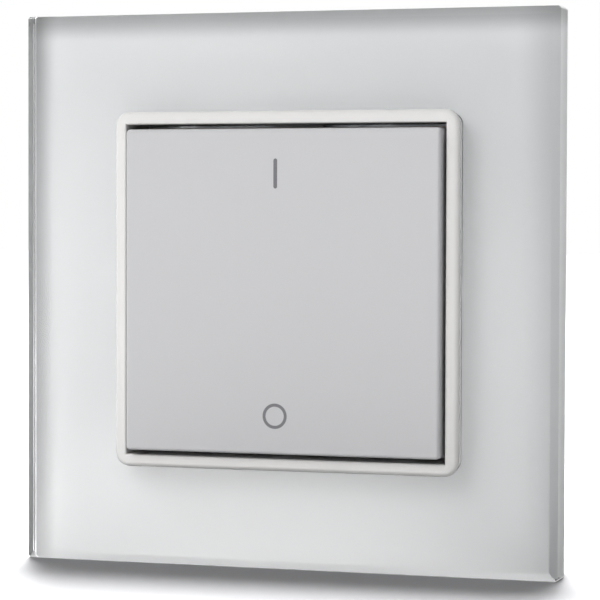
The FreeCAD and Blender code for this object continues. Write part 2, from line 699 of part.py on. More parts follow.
def make_rocker():
    """The pushbutton plate with its skirt, pivot pins and push bosses."""
    body = new_body("rocker")
    outline = rectangle("0", "0", "rocker_width", "rocker_height")
    pad(body, "plate", "rocker_back", "rocker_front", [outline])
    corners = corner_edges("rocker_width", "rocker_height")
    dress(body, "Fillet", "plate_corners", "rocker_corner", corners)
    dress(body, "Fillet", "front_edge", "rocker_edge", loop_edges(body, "rocker_front"))
    hollow = rectangle("0", "0", "rocker_width - 2 * rocker_wall", "rocker_height - 2 * rocker_wall")
    pocket(body, "hollow", "rocker_back", "rocker_inside", [hollow])
    boss = [circle("0", f"{sign} * lever_arm", "plunger_diameter") for sign in SIGNS]
    pad(body, "bosses", "pivot_height", "rocker_inside", boss)
    rib_end = "(rocker_height - rocker_wall) / 2"
    ribs = []
    for sign in SIGNS:
        middle = f"{sign} * (lever_arm + {rib_end}) / 2"
        ribs.append(rectangle("0", middle, "rocker_rib", f"{rib_end} - lever_arm"))
    pad(body, "boss_ribs", "pivot_height + rocker_rib", "rocker_inside", ribs)
    cheek = rectangle("-(pivot_height + rocker_inside) / 2", "0",
                      "rocker_inside - pivot_height", "cheek_width")
    round_end = circle("-pivot_height", "0", "cheek_width")
    pin = circle("-pivot_height", "0", "trunnion_diameter")
    for sign, word in zip(SIGNS, ("left", "right")):
        near = f"{sign} * (cheek_offset - cheek_thickness / 2) - cheek_thickness / 2"
        far = f"{near} + cheek_thickness"
        pad(body, "cheek_" + word, near, far, [cheek], SIDE)
        pad(body, "cheek_end_" + word, near, far, [round_end], SIDE)
        start = f"{sign} * (cheek_offset + trunnion_length / 2) - trunnion_length / 2"
        pad(body, "pin_" + word, start, f"{start} + trunnion_length", [pin], SIDE)


def make_plunger(label, sign):
    """The spring-loaded pin between the rocker and its switch contact."""
    up = f"{sign} * lever_arm"
    head_length = "plunger_head - plunger_dome"
    head = rod(label + "_head", "0", up, "head_back", "plunger_diameter", head_length)
    tip = cone(label + "_tip", "0", up, "plunger_tip - plunger_dome",
               "plunger_diameter", "plunger_point", "plunger_dome")
    stem = rod(label + "_stem", "0", up, "stem_end", "stem_diameter", "head_back - stem_end")
    finished(fused(label, [head, tip, stem]), label)


def make_return_spring(label, sign):
    """The coil spring that pushes a plunger back out."""
    body = new_body(label)
    coil = "(spring_outer - spring_wire) / 2"
    start = "-(floor_front + spring_wire / 2)"
    wire = circle(coil, start, "spring_wire")
    sketch = add_sketch(body, label, TOP, f"{sign} * lever_arm", [wire])
    feature = body.newObject("PartDesign::AdditiveHelix", label + "_coil")
    feature.Profile = sketch
    feature.ReferenceAxis = (sketch, ["V_Axis"])
    feature.Mode = "height-turns-angle"
    feature.Reversed = True
    tie(feature, "Height", "head_back - floor_front - spring_wire")
    tie(feature, "Turns", "spring_turns")
    doc.recompute()


def make_snap_dome(label, sign):
    """The thin metal dome that closes the contact on the control board."""
    up = f"{sign} * lever_arm"
    crown = "dome_diameter / 2"
    shell = cone(label + "_outer", "0", up, "board_front", "dome_diameter", crown, "dome_height")
    inside = cone(label + "_inner", "0", up, "board_front", "dome_diameter - 4 * dome_metal",
                  f"{crown} - 2 * dome_metal", "dome_height - dome_metal")
    finished(cut(label, shell, inside), label)


def make_mechanism_base():
    """The moulded front of the insert: it carries the rocker and clamps the support plate."""
    body = new_body("mechanism_base")
    pad(body, "floor", "plate_thickness", "base_front", [square("base_width")])
    dress(body, "Fillet", "floor_corners", "base_corner", corner_edges("base_width"))
    pocket(body, "hollow", "floor_front", "base_front", [square("base_width - 2 * base_wall")])
    pad(body, "spigot", "0", "plate_thickness", [octagon("spigot_width", "opening_cut")])
    windows = []
    edge = "(base_width - base_wall) / 2"
    for sign in SIGNS:
        place = f"{sign} * {edge}"
        windows.append(rectangle(place, "0", "2 * base_wall", "window_width"))
        windows.append(rectangle("0", place, "window_width", "2 * base_wall"))
    pocket(body, "windows", "floor_front", "latch_front + latch_play", windows)
    tubes = [circle("0", f"{sign} * lever_arm", "guide_outer") for sign in SIGNS]
    pad(body, "guides", "floor_front", "base_front", tubes)
    bores = [circle("0", f"{sign} * lever_arm", "guide_bore") for sign in SIGNS]
    pocket(body, "guide_bores", "floor_front", "base_front", bores)
    holes = [circle("0", f"{sign} * lever_arm", "stem_diameter + 2 * stem_fit") for sign in SIGNS]
    pocket(body, "stem_holes", "0", "floor_front", holes)
    for sign, word in zip(SIGNS, ("left", "right")):
        near = f"{sign} * (lug_inner + lug_thickness / 2) - lug_thickness / 2"
        far = f"{near} + lug_thickness"
        post = rectangle("-(floor_front + pivot_height) / 2", "0",
                         "pivot_height - floor_front", "lug_width")
        pad(body, "lug_" + word, near, far, [post], SIDE)
        pad(body, "lug_end_" + word, near, far, [circle("-pivot_height", "0", "lug_width")], SIDE)
        bore = circle("-pivot_height", "0", "trunnion_diameter + 2 * pivot_fit")
        pocket(body, "lug_bore_" + word, near, far, [bore], SIDE)
    screws = []
    feet = []
    for side in SIGNS:
        for level in SIGNS:
            screws.append(circle(f"{side} * boss_offset", f"{level} * boss_offset", "screw_hole"))
            feet.append(rectangle(f"{side} * foot_across", f"{level} * foot_up",
                                  "foot_width", "foot_width"))
    pocket(body, "screw_holes", "0", "floor_front", screws)
    pad(body, "feet", "board_front", "0", feet)


# The support plate and the housing in the wall box


def make_support_plate():
    """The galvanised steel plate that is screwed to the wall box."""
    body = new_body("support_plate")
    sheet = [square("plate_width"), octagon("plate_opening", "opening_cut")]
    pad(body, "sheet", "0", "plate_thickness", sheet)
    dress(body, "Fillet", "sheet_corners", "plate_corner", corner_edges("plate_width"))
    flanges = []
    slots = []
    for sign in SIGNS:
        edge = f"{sign} * (plate_width - plate_thickness) / 2"
        flanges.append(rectangle(edge, "0", "plate_thickness", "flange_length"))
        place = f"{sign} * wall_screw_spacing / 2"
        slots.append(slot(place, "0", "slot_length", "slot_width", 0))
        slots.append(slot("0", place, "slot_length", "slot_width", math.pi / 2))
    pad(body, "flanges", "plate_thickness", "plate_thickness + flange_height", flanges)
    pocket(body, "slots", "0", "plate_thickness", slots)


def make_insert_housing():
    """The moulded box in the wall, with its bosses, ledges, posts and terminal window."""
    body = new_body("insert_housing")
    pad(body, "shell", "-housing_depth", "0", [octagon("housing_width", "housing_cut")])
    dress(body, "Fillet", "rear_edge", "housing_edge", loop_edges(body, "-housing_depth"))
    pocket(body, "hollow", "housing_floor", "0", [octagon("housing_inner", "inner_cut")])
    bosses = []
    holes = []
    ledges = []
    ledge_place = "(housing_inner - ledge_depth) / 2"
    for side in SIGNS:
        for level in SIGNS:
            across = f"{side} * boss_offset"
            up = f"{level} * boss_offset"
            bosses.append(circle(across, up, "boss_diameter"))
            holes.append(circle(across, up, "screw_hole"))
            ledges.append(rectangle(f"{side} * {ledge_place}", f"{level} * ledge_offset",
                                    "ledge_depth", "ledge_width"))
    pad(body, "bosses", "housing_floor", "0", bosses)
    pocket(body, "boss_holes", "-screw_depth", "0", holes)
    pad(body, "ledges", "housing_floor", "board_back", ledges)
    posts = [circle(f"{side} * post_offset", "0", "post_diameter") for side in SIGNS]
    pad(body, "posts", "housing_floor", "power_back", posts)
    pilots = [circle(f"{side} * post_offset", "0", "board_hole") for side in SIGNS]
    pilot_end = "power_front - board_screw_length - screw_tip_gap"
    pocket(body, "pilots", pilot_end, "power_back", pilots)
    window = rectangle("0", "terminal_middle", "terminal_width + 2 * terminal_fit",
                       "terminal_length + 2 * terminal_fit")
    pocket(body, "terminal_window", "-housing_depth", "housing_floor", [window])


def cross_recess(name, across, up, front):
    """The cross-shaped recess in a screw's head, as a solid to take away."""
    level = box(name + "_level", across, up, f"{front} - drive_depth",
                "drive_reach", "drive_size", "drive_depth")
    upright = box(name + "_upright", across, up, f"{front} - drive_depth",
                  "drive_size", "drive_reach", "drive_depth")
    return fused(name + "_recess", [level, upright])


def headed_screw(name, across, up, seat, sizes_of_screw):
    """A screw with a flat head on its seat and a plain shank behind it."""
    diameter, length, head_diameter, head_height = sizes_of_screw
    head = rod(name + "_head", across, up, seat, head_diameter, head_height)
    shank = rod(name + "_shank", across, up, f"({seat}) - ({length})", diameter, length)
    blank = fused(name + "_blank", [head, shank])
    recess = cross_recess(name, across, up, f"({seat}) + ({head_height})")
    return cut(name, blank, recess)


def make_housing_screws():
    """Four screws that clamp the base, the support plate and the housing together."""
    sizes_of_screw = ("screw_diameter", "floor_front + screw_depth - screw_tip_gap",
                      "screw_head", "screw_head_height")
    screws = []
    for side in SIGNS:
        for level in SIGNS:
            screws.append(headed_screw("housing_screw", f"{side} * boss_offset",
                                       f"{level} * boss_offset", "floor_front", sizes_of_screw))
    group("housing_screws", screws)


def make_board_screws():
    """Two screws that hold the power board on its posts."""
    sizes_of_screw = ("board_screw", "board_screw_length", "board_screw_head",
                      "board_screw_head_height")
    screws = []
    for side in SIGNS:
        screws.append(headed_screw("board_screw", f"{side} * post_offset", "0",
                                   "power_front", sizes_of_screw))
    group("board_screws", screws)


# The circuit boards and their components


def make_control_board():
    """The board behind the rocker, with the two push contacts."""
    body = new_body("control_board")
    pad(body, "laminate", "board_back", "board_front", [octagon("board_width", "board_cut")])


def make_power_board():
    """The board that carries the power components and the terminals."""
    body = new_body("power_board")
    pad(body, "laminate", "power_back", "power_front", [octagon("power_width", "power_cut")])
    holes = [circle(f"{side} * post_offset", "0", "board_hole") for side in SIGNS]
    pocket(body, "screw_holes", "power_back", "power_front", holes)


def make_control_chip():
    """The controller with its eight leads, on the rear of the control board."""
    case_back = "board_back - lead_height - chip_height"
    solids = [box("chip_case", "chip_across", "chip_up", case_back, "chip_width",
                  "chip_length", "chip_height")]
    for side in SIGNS:
        level = f"chip_up + {side} * (chip_length + lead_size) / 2"
        for number in range(-3, 4, 2):
            place = f"chip_across + {number} * chip_pitch / 2"
            solids.append(box("chip_lead", place, level, "board_back - 2 * lead_height",
                              "chip_lead", "lead_size", "2 * lead_height"))
    finished(fused("control_chip", solids), "control_chip")


def make_surface_parts():
    """Small resistors and capacitors on the rear of the control board."""
    parts = []
    for side in SIGNS:
        level = f"{side} * part_row / 2 - parts_down"
        for number in range(-3, 4, 2):
            parts.append(box("surface_part", f"{number} * part_pitch / 2", level,
                             "board_back - part_height", "part_length", "part_width",
                             "part_height"))
    group("surface_parts", parts)


def make_board_connector():
    """The pin header that joins the two boards."""
    solids = [box("header_body", "0", "header_up", "power_front", "header_width",
                  "header_depth", "header_height")]
    for number in range(-2, 3):
        solids.append(box("header_pin", f"{number} * pin_pitch", "header_up", "power_front",
                          "pin_size", "pin_size", "board_back - power_front"))
    finished(fused("board_connector", solids), "board_connector")


def make_choke():
    """The ring core and its winding, which keep the dimmer free of noise."""
    place = ("choke_across", "choke_up")
    foot = "power_front + winding_thickness + winding_gap"
    ring = rod("core_blank", *place, foot, "choke_outer", "choke_height")
    middle = rod("core_hole", *place, foot, "choke_inner", "choke_height")
    finished(cut("choke_core", ring, middle), "choke_core")
    room = "2 * winding_gap"
    height = "choke_height + winding_room"
    sleeve = rod("winding_outer", *place, "power_front", "wound_size", height)
    hole = rod("winding_hole", *place, "power_front", "choke_inner - winding_room", height)
    tunnel_foot = f"{foot} - winding_gap"
    tunnel_height = f"choke_height + {room}"
    space = rod("winding_space", *place, tunnel_foot, f"choke_outer + {room}", tunnel_height)
    lining = rod("winding_lining", *place, tunnel_foot, f"choke_inner - {room}", tunnel_height)
    tunnel = cut("winding_tunnel", space, lining)
    blank = cut("winding_blank", cut("winding_ring", sleeve, hole), tunnel)
    wedge = rod("winding_wedge", *place, "power_front", "2 * wound_size", height)
    tie(wedge, "Angle", "winding_opening")
    finished(cut("choke_winding", blank, wedge), "choke_winding")


def make_film_capacitor():
    """The box-shaped mains capacitor on two leads."""
    solids = [box("film_case", "film_across", "film_up", "power_front + lead_height",
                  "film_length", "film_width", "film_height")]
    for side in SIGNS:
        solids.append(box("film_lead", f"film_across + {side} * film_lead_offset", "film_up",
                          "power_front", "lead_size", "lead_size", "lead_height"))
    finished(fused("film_capacitor", solids), "film_capacitor")


def make_bulk_capacitor():
    """The aluminium can with its rolled groove."""
    place = ("can_across", "can_up")
    groove = "power_front + groove_start"
    can = rod("can_body", *place, "power_front", "can_diameter", "can_height")
    outer = rod("groove_outer", *place, groove, "can_diameter + groove_depth", "groove_width")
    inner = rod("groove_inner", *place, groove, "can_diameter - 2 * groove_depth",
                "groove_width")
    finished(cut("bulk_capacitor", can, cut("groove_ring", outer, inner)), "bulk_capacitor")


def make_fuse():
    """The cartridge fuse between its two metal caps."""
    height = "power_front + fuse_cap_diameter / 2"
    tube_length = "fuse_length - 2 * fuse_cap_length"
    solids = [rod_across("fuse_tube", "fuse_across", "fuse_up", height, "fuse_diameter",
                         tube_length)]
    for side in SIGNS:
        place = f"fuse_across + {side} * (fuse_length - fuse_cap_length) / 2"
        solids.append(rod_across("fuse_cap", place, "fuse_up", height, "fuse_cap_diameter",
                                 "fuse_cap_length"))
    group("fuse", solids)


def make_varistor():
    """The coated disc that takes voltage peaks."""
    height = "power_front + lead_height + varistor_diameter / 2"
    solids = [rod_across("varistor_disc", "varistor_across", "varistor_up", height,
                         "varistor_diameter", "varistor_thickness")]
    for side in SIGNS:
        level = f"varistor_up + {side} * varistor_diameter / 4"
        solids.append(box("varistor_lead", "varistor_across", level, "power_front",
                          "lead_size", "lead_size", "lead_height + varistor_diameter / 4"))
    finished(fused("varistor", solids), "varistor")


def make_mosfets():
    """The two power transistors on the rear of the power board."""
    solids = []
    for side in SIGNS:
        across = f"{side} * mosfet_spread"
        case = box("mosfet_case", across, "mosfet_up", "pad_front", "mosfet_width",
                   "mosfet_length", "mosfet_height")
        parts = [case]
        for step in SIGNS:
            parts.append(box("mosfet_lead", f"{across} + {step} * mosfet_width / 3",
                             "mosfet_up - mosfet_length / 2 - lead_size",
                             "power_back - lead_size", "lead_size", "lead_size * 2", "lead_size"))
        solids.append(fused("mosfet", parts))
    group("mosfets", solids)


def make_thermal_pad():
    """The soft pad between the transistors and the heat sink."""
    body = new_body("thermal_pad")
    width = "2 * mosfet_spread + mosfet_width + 2 * pad_margin"
    outline = rectangle("0", "mosfet_up", width, "mosfet_length + 2 * pad_margin")
    pad(body, "sheet", "sink_front", "pad_front", [outline])


def make_heat_sink():
    """The finned aluminium plate, pressed on the pad by the housing's floor."""
    body = new_body("heat_sink")
    plate = rectangle("0", "mosfet_up", "sink_width", "sink_length")
    pad(body, "plate", "sink_front - sink_base", "sink_front", [plate])
    fins = []
    for number in range(-2, 3):
        fins.append(rectangle(f"{number} * fin_pitch", "mosfet_up", "fin_thickness", "sink_length"))
    pad(body, "fins", "housing_floor", "sink_front - sink_base", fins)


# The terminals


def terminal_places():
    """The places of the three terminals across the block."""
    return [f"{number} * terminal_pitch" for number in (-1, 0, 1)]


def make_terminal_body():
    """The moulded block with a pocket, a wire entry and a screw hole for each terminal."""
    body = new_body("terminal_body")
    outline = rectangle("0", "terminal_middle", "terminal_width", "terminal_length")
    pad(body, "block", "-housing_depth", "power_back", [outline])
    pockets = []
    entries = []
    heads = []
    shanks = []
    for place in terminal_places():
        pockets.append(rectangle(place, "terminal_middle", "cage_width + 2 * cage_play",
                                 "cage_length + 2 * cage_play"))
        entries.append(circle(place, "-wire_down", "wire_entry"))
        heads.append(circle(place, "-clamp_down", "clamp_head + 2 * screw_fit"))
        shanks.append(circle(place, "-clamp_down", "clamp_diameter + 4 * screw_fit"))
    pocket(body, "pockets", "pocket_floor", "power_back", pockets)
    pocket(body, "entries", "-housing_depth", "pocket_floor", entries)
    pocket(body, "head_holes", "-housing_depth", "clamp_head_front", heads)
    pocket(body, "shank_holes", "clamp_head_front", "pocket_floor", shanks)


def make_terminal_cages():
    """The brass clamps, each with a bore for the wire and one for its screw."""
    cages = []
    for place in terminal_places():
        block = box("cage_block", place, "terminal_middle", "pocket_floor", "cage_width",
                    "cage_length", "cage_height")
        tail = box("cage_tail", place, "terminal_middle", "cage_front", "tail_size",
                   "tail_size", "power_back - cage_front")
        wire = rod("cage_wire", place, "-wire_down", "pocket_floor", "wire_bore",
                   "cage_height - cage_wall")
        clamp = rod("cage_clamp", place, "-clamp_down", "pocket_floor",
                    "clamp_diameter + 2 * screw_fit", "cage_height")
        holes = fused("cage_holes", [wire, clamp])
        cages.append(cut("cage", fused("cage_blank", [block, tail]), holes))
    group("terminal_cages", cages)


def make_terminal_screws():
    """Three slotted screws that are turned from the rear."""
    screws = []
    for place in terminal_places():
        head = rod("clamp_head", place, "-clamp_down", "clamp_head_back", "clamp_head",
                   "clamp_head_height")
        shank = rod("clamp_shank", place, "-clamp_down", "clamp_head_front", "clamp_diameter",
                    "clamp_length")
        groove = box("clamp_groove", place, "-clamp_down", "clamp_head_back",
                     "2 * clamp_head", "clamp_slot", "clamp_slot")
        screws.append(cut("clamp_screw", fused("clamp_blank", [head, shank]), groove))
    group("terminal_screws", screws)


def make_all():
    """Makes every piece, from the front of the dimmer to its terminals."""
    make_glass_panel()
    make_adhesive_strips()
    make_frame_carrier()
    make_bezel()
    make_rocker()
    for sign, word in zip(SIGNS, ("bottom", "top")):
        make_plunger("plunger_" + word, sign)
        make_return_spring("return_spring_" + word, sign)
        make_snap_dome("snap_dome_" + word, sign)
    make_mechanism_base()
    make_support_plate()
    make_insert_housing()
    make_housing_screws()
    make_control_board()
    make_control_chip()
    make_surface_parts()
    make_board_connector()
    make_power_board()
    make_board_screws()
    make_choke()
    make_film_capacitor()
    make_bulk_capacitor()
    make_fuse()
    make_varistor()
    make_mosfets()
    make_thermal_pad()
    make_heat_sink()
    make_terminal_body()
    make_terminal_cages()
    make_terminal_screws()


def check_and_write():
    """Stops at a failed object or a bad solid, then writes one file for each piece."""
    doc.recompute()
    for thing in doc.Objects:
        if "Invalid" in thing.State or "Error" in thing.State:
            raise RuntimeError(f"{thing.Label} failed: {thing.State}")
    os.makedirs("parts", exist_ok=True)
    for piece in pieces:
        shape = piece.Shape
        if shape.isNull() or not shape.isValid():
            raise RuntimeError(piece.Label + " is not a valid solid")
        shape.exportStep(os.path.join("parts", piece.Label + ".step"))
        print(f"{piece.Label}: {len(shape.Solids)} solid(s), {shape.Volume:.2f} mm3")


make_all()
check_and_write()
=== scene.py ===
import json
import math

import bmesh
import bpy
from bpy.props import FloatProperty, FloatVectorProperty, PointerProperty
from bpy.types import Operator, Panel, PropertyGroup
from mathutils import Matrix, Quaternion, Vector


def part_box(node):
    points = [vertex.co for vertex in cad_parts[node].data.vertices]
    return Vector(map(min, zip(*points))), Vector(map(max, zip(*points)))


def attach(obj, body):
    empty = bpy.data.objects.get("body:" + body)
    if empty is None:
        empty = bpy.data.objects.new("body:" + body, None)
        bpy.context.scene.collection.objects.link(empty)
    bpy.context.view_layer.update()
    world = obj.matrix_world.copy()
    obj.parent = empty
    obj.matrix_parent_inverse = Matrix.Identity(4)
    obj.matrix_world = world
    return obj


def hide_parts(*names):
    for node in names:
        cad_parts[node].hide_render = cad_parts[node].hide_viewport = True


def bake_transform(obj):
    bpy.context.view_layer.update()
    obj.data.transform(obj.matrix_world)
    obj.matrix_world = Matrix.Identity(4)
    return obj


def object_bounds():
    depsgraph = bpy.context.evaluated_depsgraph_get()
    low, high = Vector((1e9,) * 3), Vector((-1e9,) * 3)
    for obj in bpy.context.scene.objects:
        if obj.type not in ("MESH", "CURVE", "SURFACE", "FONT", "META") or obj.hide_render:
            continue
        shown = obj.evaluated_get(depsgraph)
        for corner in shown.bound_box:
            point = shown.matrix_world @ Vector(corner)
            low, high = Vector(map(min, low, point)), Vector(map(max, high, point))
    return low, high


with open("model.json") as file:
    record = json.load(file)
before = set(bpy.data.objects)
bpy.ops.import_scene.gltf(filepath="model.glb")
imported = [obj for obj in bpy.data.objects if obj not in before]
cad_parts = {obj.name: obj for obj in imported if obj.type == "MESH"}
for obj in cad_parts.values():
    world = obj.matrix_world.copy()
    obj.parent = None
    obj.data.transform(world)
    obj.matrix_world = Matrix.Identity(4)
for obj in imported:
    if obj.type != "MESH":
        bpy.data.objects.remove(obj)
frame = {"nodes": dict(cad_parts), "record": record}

bl_info = {
    "name": "Glass Frame Dimmer",
    "version": (1, 0, 0),
    "blender": (4, 5, 0),
    "location": "3D View > Sidebar > Dimmer",
    "description": "Glass, print and finishes of a flush-mounted pushbutton dimmer",
    "category": "Object",
}

MM = 0.001
CAD_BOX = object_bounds()
SLOT_OF = {part["node"]: part["material_slot"] for part in frame["record"]["subparts"]}

# The pieces in front, as the frame has them: X right, Y into the wall, Z up, in metres.
GLASS_LOW, GLASS_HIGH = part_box("glass_panel")
ROCKER_LOW, ROCKER_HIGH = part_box("rocker")
RIM_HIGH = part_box("bezel")[1]
FLOOR_LEVEL = CAD_BOX[0].z

# How far inside the back of the glass its paint lies.
PAINT_DEPTH = 0.04 * MM


# Sizes and colours that a user would change

def length(name, description, default):
    """A length of the object, in metres."""
    return FloatProperty(name=name, description=description, default=default,
                         unit="LENGTH", precision=5, min=0)


def number(name, description, default):
    """A plain number, such as a roughness or a strength."""
    return FloatProperty(name=name, description=description, default=default, precision=4)


def angle(name, description, degrees):
    """An angle, stored in radians."""
    return FloatProperty(name=name, description=description, default=math.radians(degrees),
                         unit="ROTATION")


def colour(name, description, default):
    """A linear colour."""
    return FloatVectorProperty(name=name, description=description, default=default,
                               subtype="COLOR", size=3, min=0, max=1)


class GlassSettings(PropertyGroup):
    rim_lap: length("Rim lap", "How far the inner rim laps over the glass", 0.5 * MM)
    corner: length("Corner", "How far each outer corner is dubbed off", 0.35 * MM)
    opening_corner: length("Opening corner", "Radius at the corners of the opening", 1.8 * MM)
    arris: length("Arris width", "Width of the polished bevel round the front", 1.2 * MM)
    arris_fall: length("Arris fall", "How far that bevel falls to the edge", 0.25 * MM)
    softening: length("Softening", "Rounding that polishing leaves on each edge", 0.05 * MM)
    paint_margin: length("Paint margin", "Distance of the paint from the glass's edges", 0.06 * MM)
    # Painted shade: bands along the left, right and top edges of the glass where its paint is made
    # darker; the bottom edge has none.
    painted_shade_left: length("Thin paint, left", "Width of the thinner paint at the left edge", 4.2 * MM)
    painted_shade_right: length("Thin paint, right", "Width of the thinner paint at the right edge", 8.0 * MM)
    painted_shade_top: length("Thin paint, top", "Width of the thinner paint at the top edge", 4.2 * MM)
    painted_shade_tone: number("Thin tone", "Brightness of the paint where it is thinnest", 0.62)
    painted_shade_tone_right: number("Thin tone, right", "That brightness at the right edge", 0.74)
    paint_skin: length("Paint skin", "Thickness of the paint", 0.05 * MM)
    paint: colour("Paint", "Colour of the paint on the back", (0.96, 0.965, 0.97))
    tint: colour("Tint", "What the glass lets through", (0.8, 0.89, 0.94))
    tint_density: number("Tint density", "How strongly the glass absorbs, per metre", 8.0)
    index: number("Refraction", "Index of refraction of the glass", 1.5)


class PrintSettings(PropertyGroup):
    shift: length("Shift", "How far both marks stand left of the middle", 0.75 * MM)
    bar_height: length("Bar height", "Length of the upper mark", 4.6 * MM)
    bar_width: length("Bar width", "Width of the upper mark", 0.6 * MM)
    bar_rise: length("Bar rise", "Height of the upper mark above the middle", 18.1 * MM)
    ring_diameter: length("Ring diameter", "Outer diameter of the lower mark", 3.9 * MM)
    ring_line: length("Ring line", "Line width of the lower mark", 0.48 * MM)
    ring_drop: length("Ring drop", "Depth of the lower mark below the middle", 19.1 * MM)
    ink_skin: length("Ink skin", "Thickness of the ink", 0.02 * MM)
    ink: colour("Ink", "Colour of the print", (0.13, 0.13, 0.14))


class FinishSettings(PropertyGroup):
    rocker: colour("Rocker", "Colour of the rocker", (0.518, 0.518, 0.53))
    rim: colour("Rim", "Colour of the inner rim", (0.69, 0.685, 0.675))
    base: colour("Base", "Colour of the moulded base that shows in the gaps", (0.88, 0.8, 0.74))
    carrier: colour("Carrier", "Colour of the moulded tray behind the glass", (0.62, 0.63, 0.64))
    dust: colour("Dust", "Colour of settled dust", (0.55, 0.53, 0.5))


class StudioSettings(PropertyGroup):
    azimuth: angle("Azimuth", "Direction of the camera, to the right of the front", 17.88)
    elevation: angle("Elevation", "Height of the camera over the horizon", 1.945)
    roll: angle("Roll", "Turn of the camera about its own axis", 0.17)
    distance: length("Distance", "Distance of the camera from what it looks at", 406.2 * MM)
    target: FloatVectorProperty(name="Target", description="What the camera looks at",
                                default=(-1.04 * MM, 0, -1.68 * MM), subtype="XYZ",
                                unit="LENGTH", precision=5)
    lens: number("Lens", "Focal length of the camera, in millimetres", 154.1)
    fill: number("Fill", "Strength of the even light from all round", 0.14)
    front: number("Front light", "Strength of the broad soft light from the front", 0.8)
    key: number("Key lamp", "Radiance of the lamp above, in front and to the left", 4.2)
    rear: number("Rear light", "Strength of the soft light from behind", 0.42)
    glow: number("Glow", "Strength of the soft window that the glass mirrors at its left", 4.1)
    low_glow: number("Low glow", "Strength of the bright table that the glass mirrors below", 7.5)
    table: number("Table", "Strength of the near table that the foot of the glass mirrors", 2.4)
    room: number("Room", "Brightness of the room that gloss and glass show at the sides", 0.5)
    top: number("Top lamp", "Radiance of the lamp above", 10.0)
    floor_top: number("Floor lamp", "Radiance of the lamp that only the floor receives", 175.0)
    floor: colour("Floor", "Colour of the floor", (0.2, 0.2, 0.205))
    bounce: colour("Bounce", "Colour of the floor in the light that it sends up", (0.14, 0.14, 0.14))


SETTINGS = {
    "dimmer_glass": GlassSettings,
    "dimmer_print": PrintSettings,
    "dimmer_finish": FinishSettings,
    "dimmer_studio": StudioSettings,
}


# Modelling by hand

# Places closer than CLOSE count as one level, and vertices closer than MERGE become one.
CLOSE = 0.01 * MM
MERGE = 0.0005 * MM

# Least share of a face's normal, and of an edge's length, that runs from front to back.
LEVEL = 0.99
LENGTHWISE = 0.9

# In half widths: edges of the outline lie beyond OUTER, and those of the opening within INNER.
OUTER = 0.9
INNER = 1.05

# Steps round a corner of the opening, a corner of the bar and the whole ring.
CORNER_STEPS = 24
BAR_STEPS = 6
RING_STEPS = 72

# Each corner of the bar is rounded by just under half of its width.
BAR_ROUNDING = 0.49

# Edges sharper than this, in degrees, stay sharp in the shading of a spring.
COIL_SHARPNESS = 40


def deselect_all():
    """Empties the selection, because an operator acts on all of it."""
    bpy.ops.object.select_all(action="DESELECT")


def apply_place():
    """Puts the active object's place into its mesh."""
    bpy.ops.object.transform_apply(location=True, rotation=True, scale=True)


def add_block(low, high):
    """Adds a cube between two corners, with its place in its mesh, and returns it."""
    deselect_all()
    bpy.ops.mesh.primitive_cube_add(size=1, location=(low + high) / 2, scale=high - low)
    apply_place()
    return bpy.context.object


def pick(kind, test):
    """In edit mode, selects only the vertices, edges or faces that pass a test."""
    mode = {"verts": "VERT", "edges": "EDGE", "faces": "FACE"}[kind]
    bpy.ops.mesh.select_mode(type=mode)
    bpy.ops.mesh.select_all(action="DESELECT")
    mesh = bmesh.from_edit_mesh(bpy.context.edit_object.data)
    mesh.normal_update()
    found = [item for item in getattr(mesh, kind) if test(item)]
    for item in found:
        item.select_set(True)
    if not found:
        raise RuntimeError(f"nothing to select among the {kind} of {bpy.context.edit_object.name}")
    mesh.select_flush_mode()
    bmesh.update_edit_mesh(bpy.context.edit_object.data)


def faces_level(item):
    """A face that looks to the front or to the back."""
    return abs(item.normal.y) > LEVEL


def along_depth(item):
    """An edge that runs from front to back."""
    start, end = (vertex.co for vertex in item.verts)
    return abs(start.y - end.y) > LENGTHWISE * (start - end).length


def reach(item):
    """How far an edge's middle lies from the object's axis, across or up."""
    middle = (item.verts[0].co + item.verts[1].co) / 2
    return max(abs(middle.x), abs(middle.z))


def outline_at(depth, half):
    """A test for the edges of the outline beyond that half width, at that depth."""
    def test(item):
        level = all(abs(vertex.co.y - depth) < CLOSE for vertex in item.verts)
        outer = any(not faces_level(face) for face in item.link_faces)
        return level and outer and reach(item) > half
    return test


def square_frame(half, opening, front, back, opening_corner):
    """A flat square with a round-cornered opening. It stays in edit mode."""
    add_block(Vector((-half, front, -half)), Vector((half, back, half)))
    bpy.ops.object.mode_set(mode="EDIT")
    pick("faces", faces_level)
    bpy.ops.mesh.inset(thickness=half - opening, depth=0)
    bpy.ops.mesh.bridge_edge_loops()
    pick("edges", lambda item: along_depth(item) and reach(item) < INNER * opening)
    bpy.ops.mesh.bevel(offset=opening_corner, segments=CORNER_STEPS, affect="EDGES")
    return bpy.context.object


def flat_bevel(half, front, width, fall):
    """Grinds a bevel round the front of the square that is wider than it is deep."""
    pick("edges", outline_at(front, OUTER * half))
    bpy.ops.mesh.bevel(offset=width, segments=1, affect="EDGES", loop_slide=False)
    pick("verts", lambda item: abs(item.co.y - front - width) < CLOSE)
    bpy.ops.transform.translate(value=(0, fall - width, 0))


def dub_corners(half, size):
    """Takes the four outer corners of the square off with a flat cut."""
    for across in (-1, 1):
        for up in (-1, 1):
            bpy.ops.mesh.select_all(action="SELECT")
            bpy.ops.mesh.bisect(plane_co=(across * (half - size / 2), 0, up * (half - size / 2)),
                                plane_no=(across, 0, up), use_fill=True, clear_outer=True)


def leave_edit_mode():
    """Merges doubles, points the faces outwards and goes back to object mode."""
    bpy.ops.mesh.select_all(action="SELECT")
    bpy.ops.mesh.remove_doubles(threshold=MERGE)
    bpy.ops.mesh.normals_make_consistent(inside=False)
    bpy.ops.object.mode_set(mode="OBJECT")


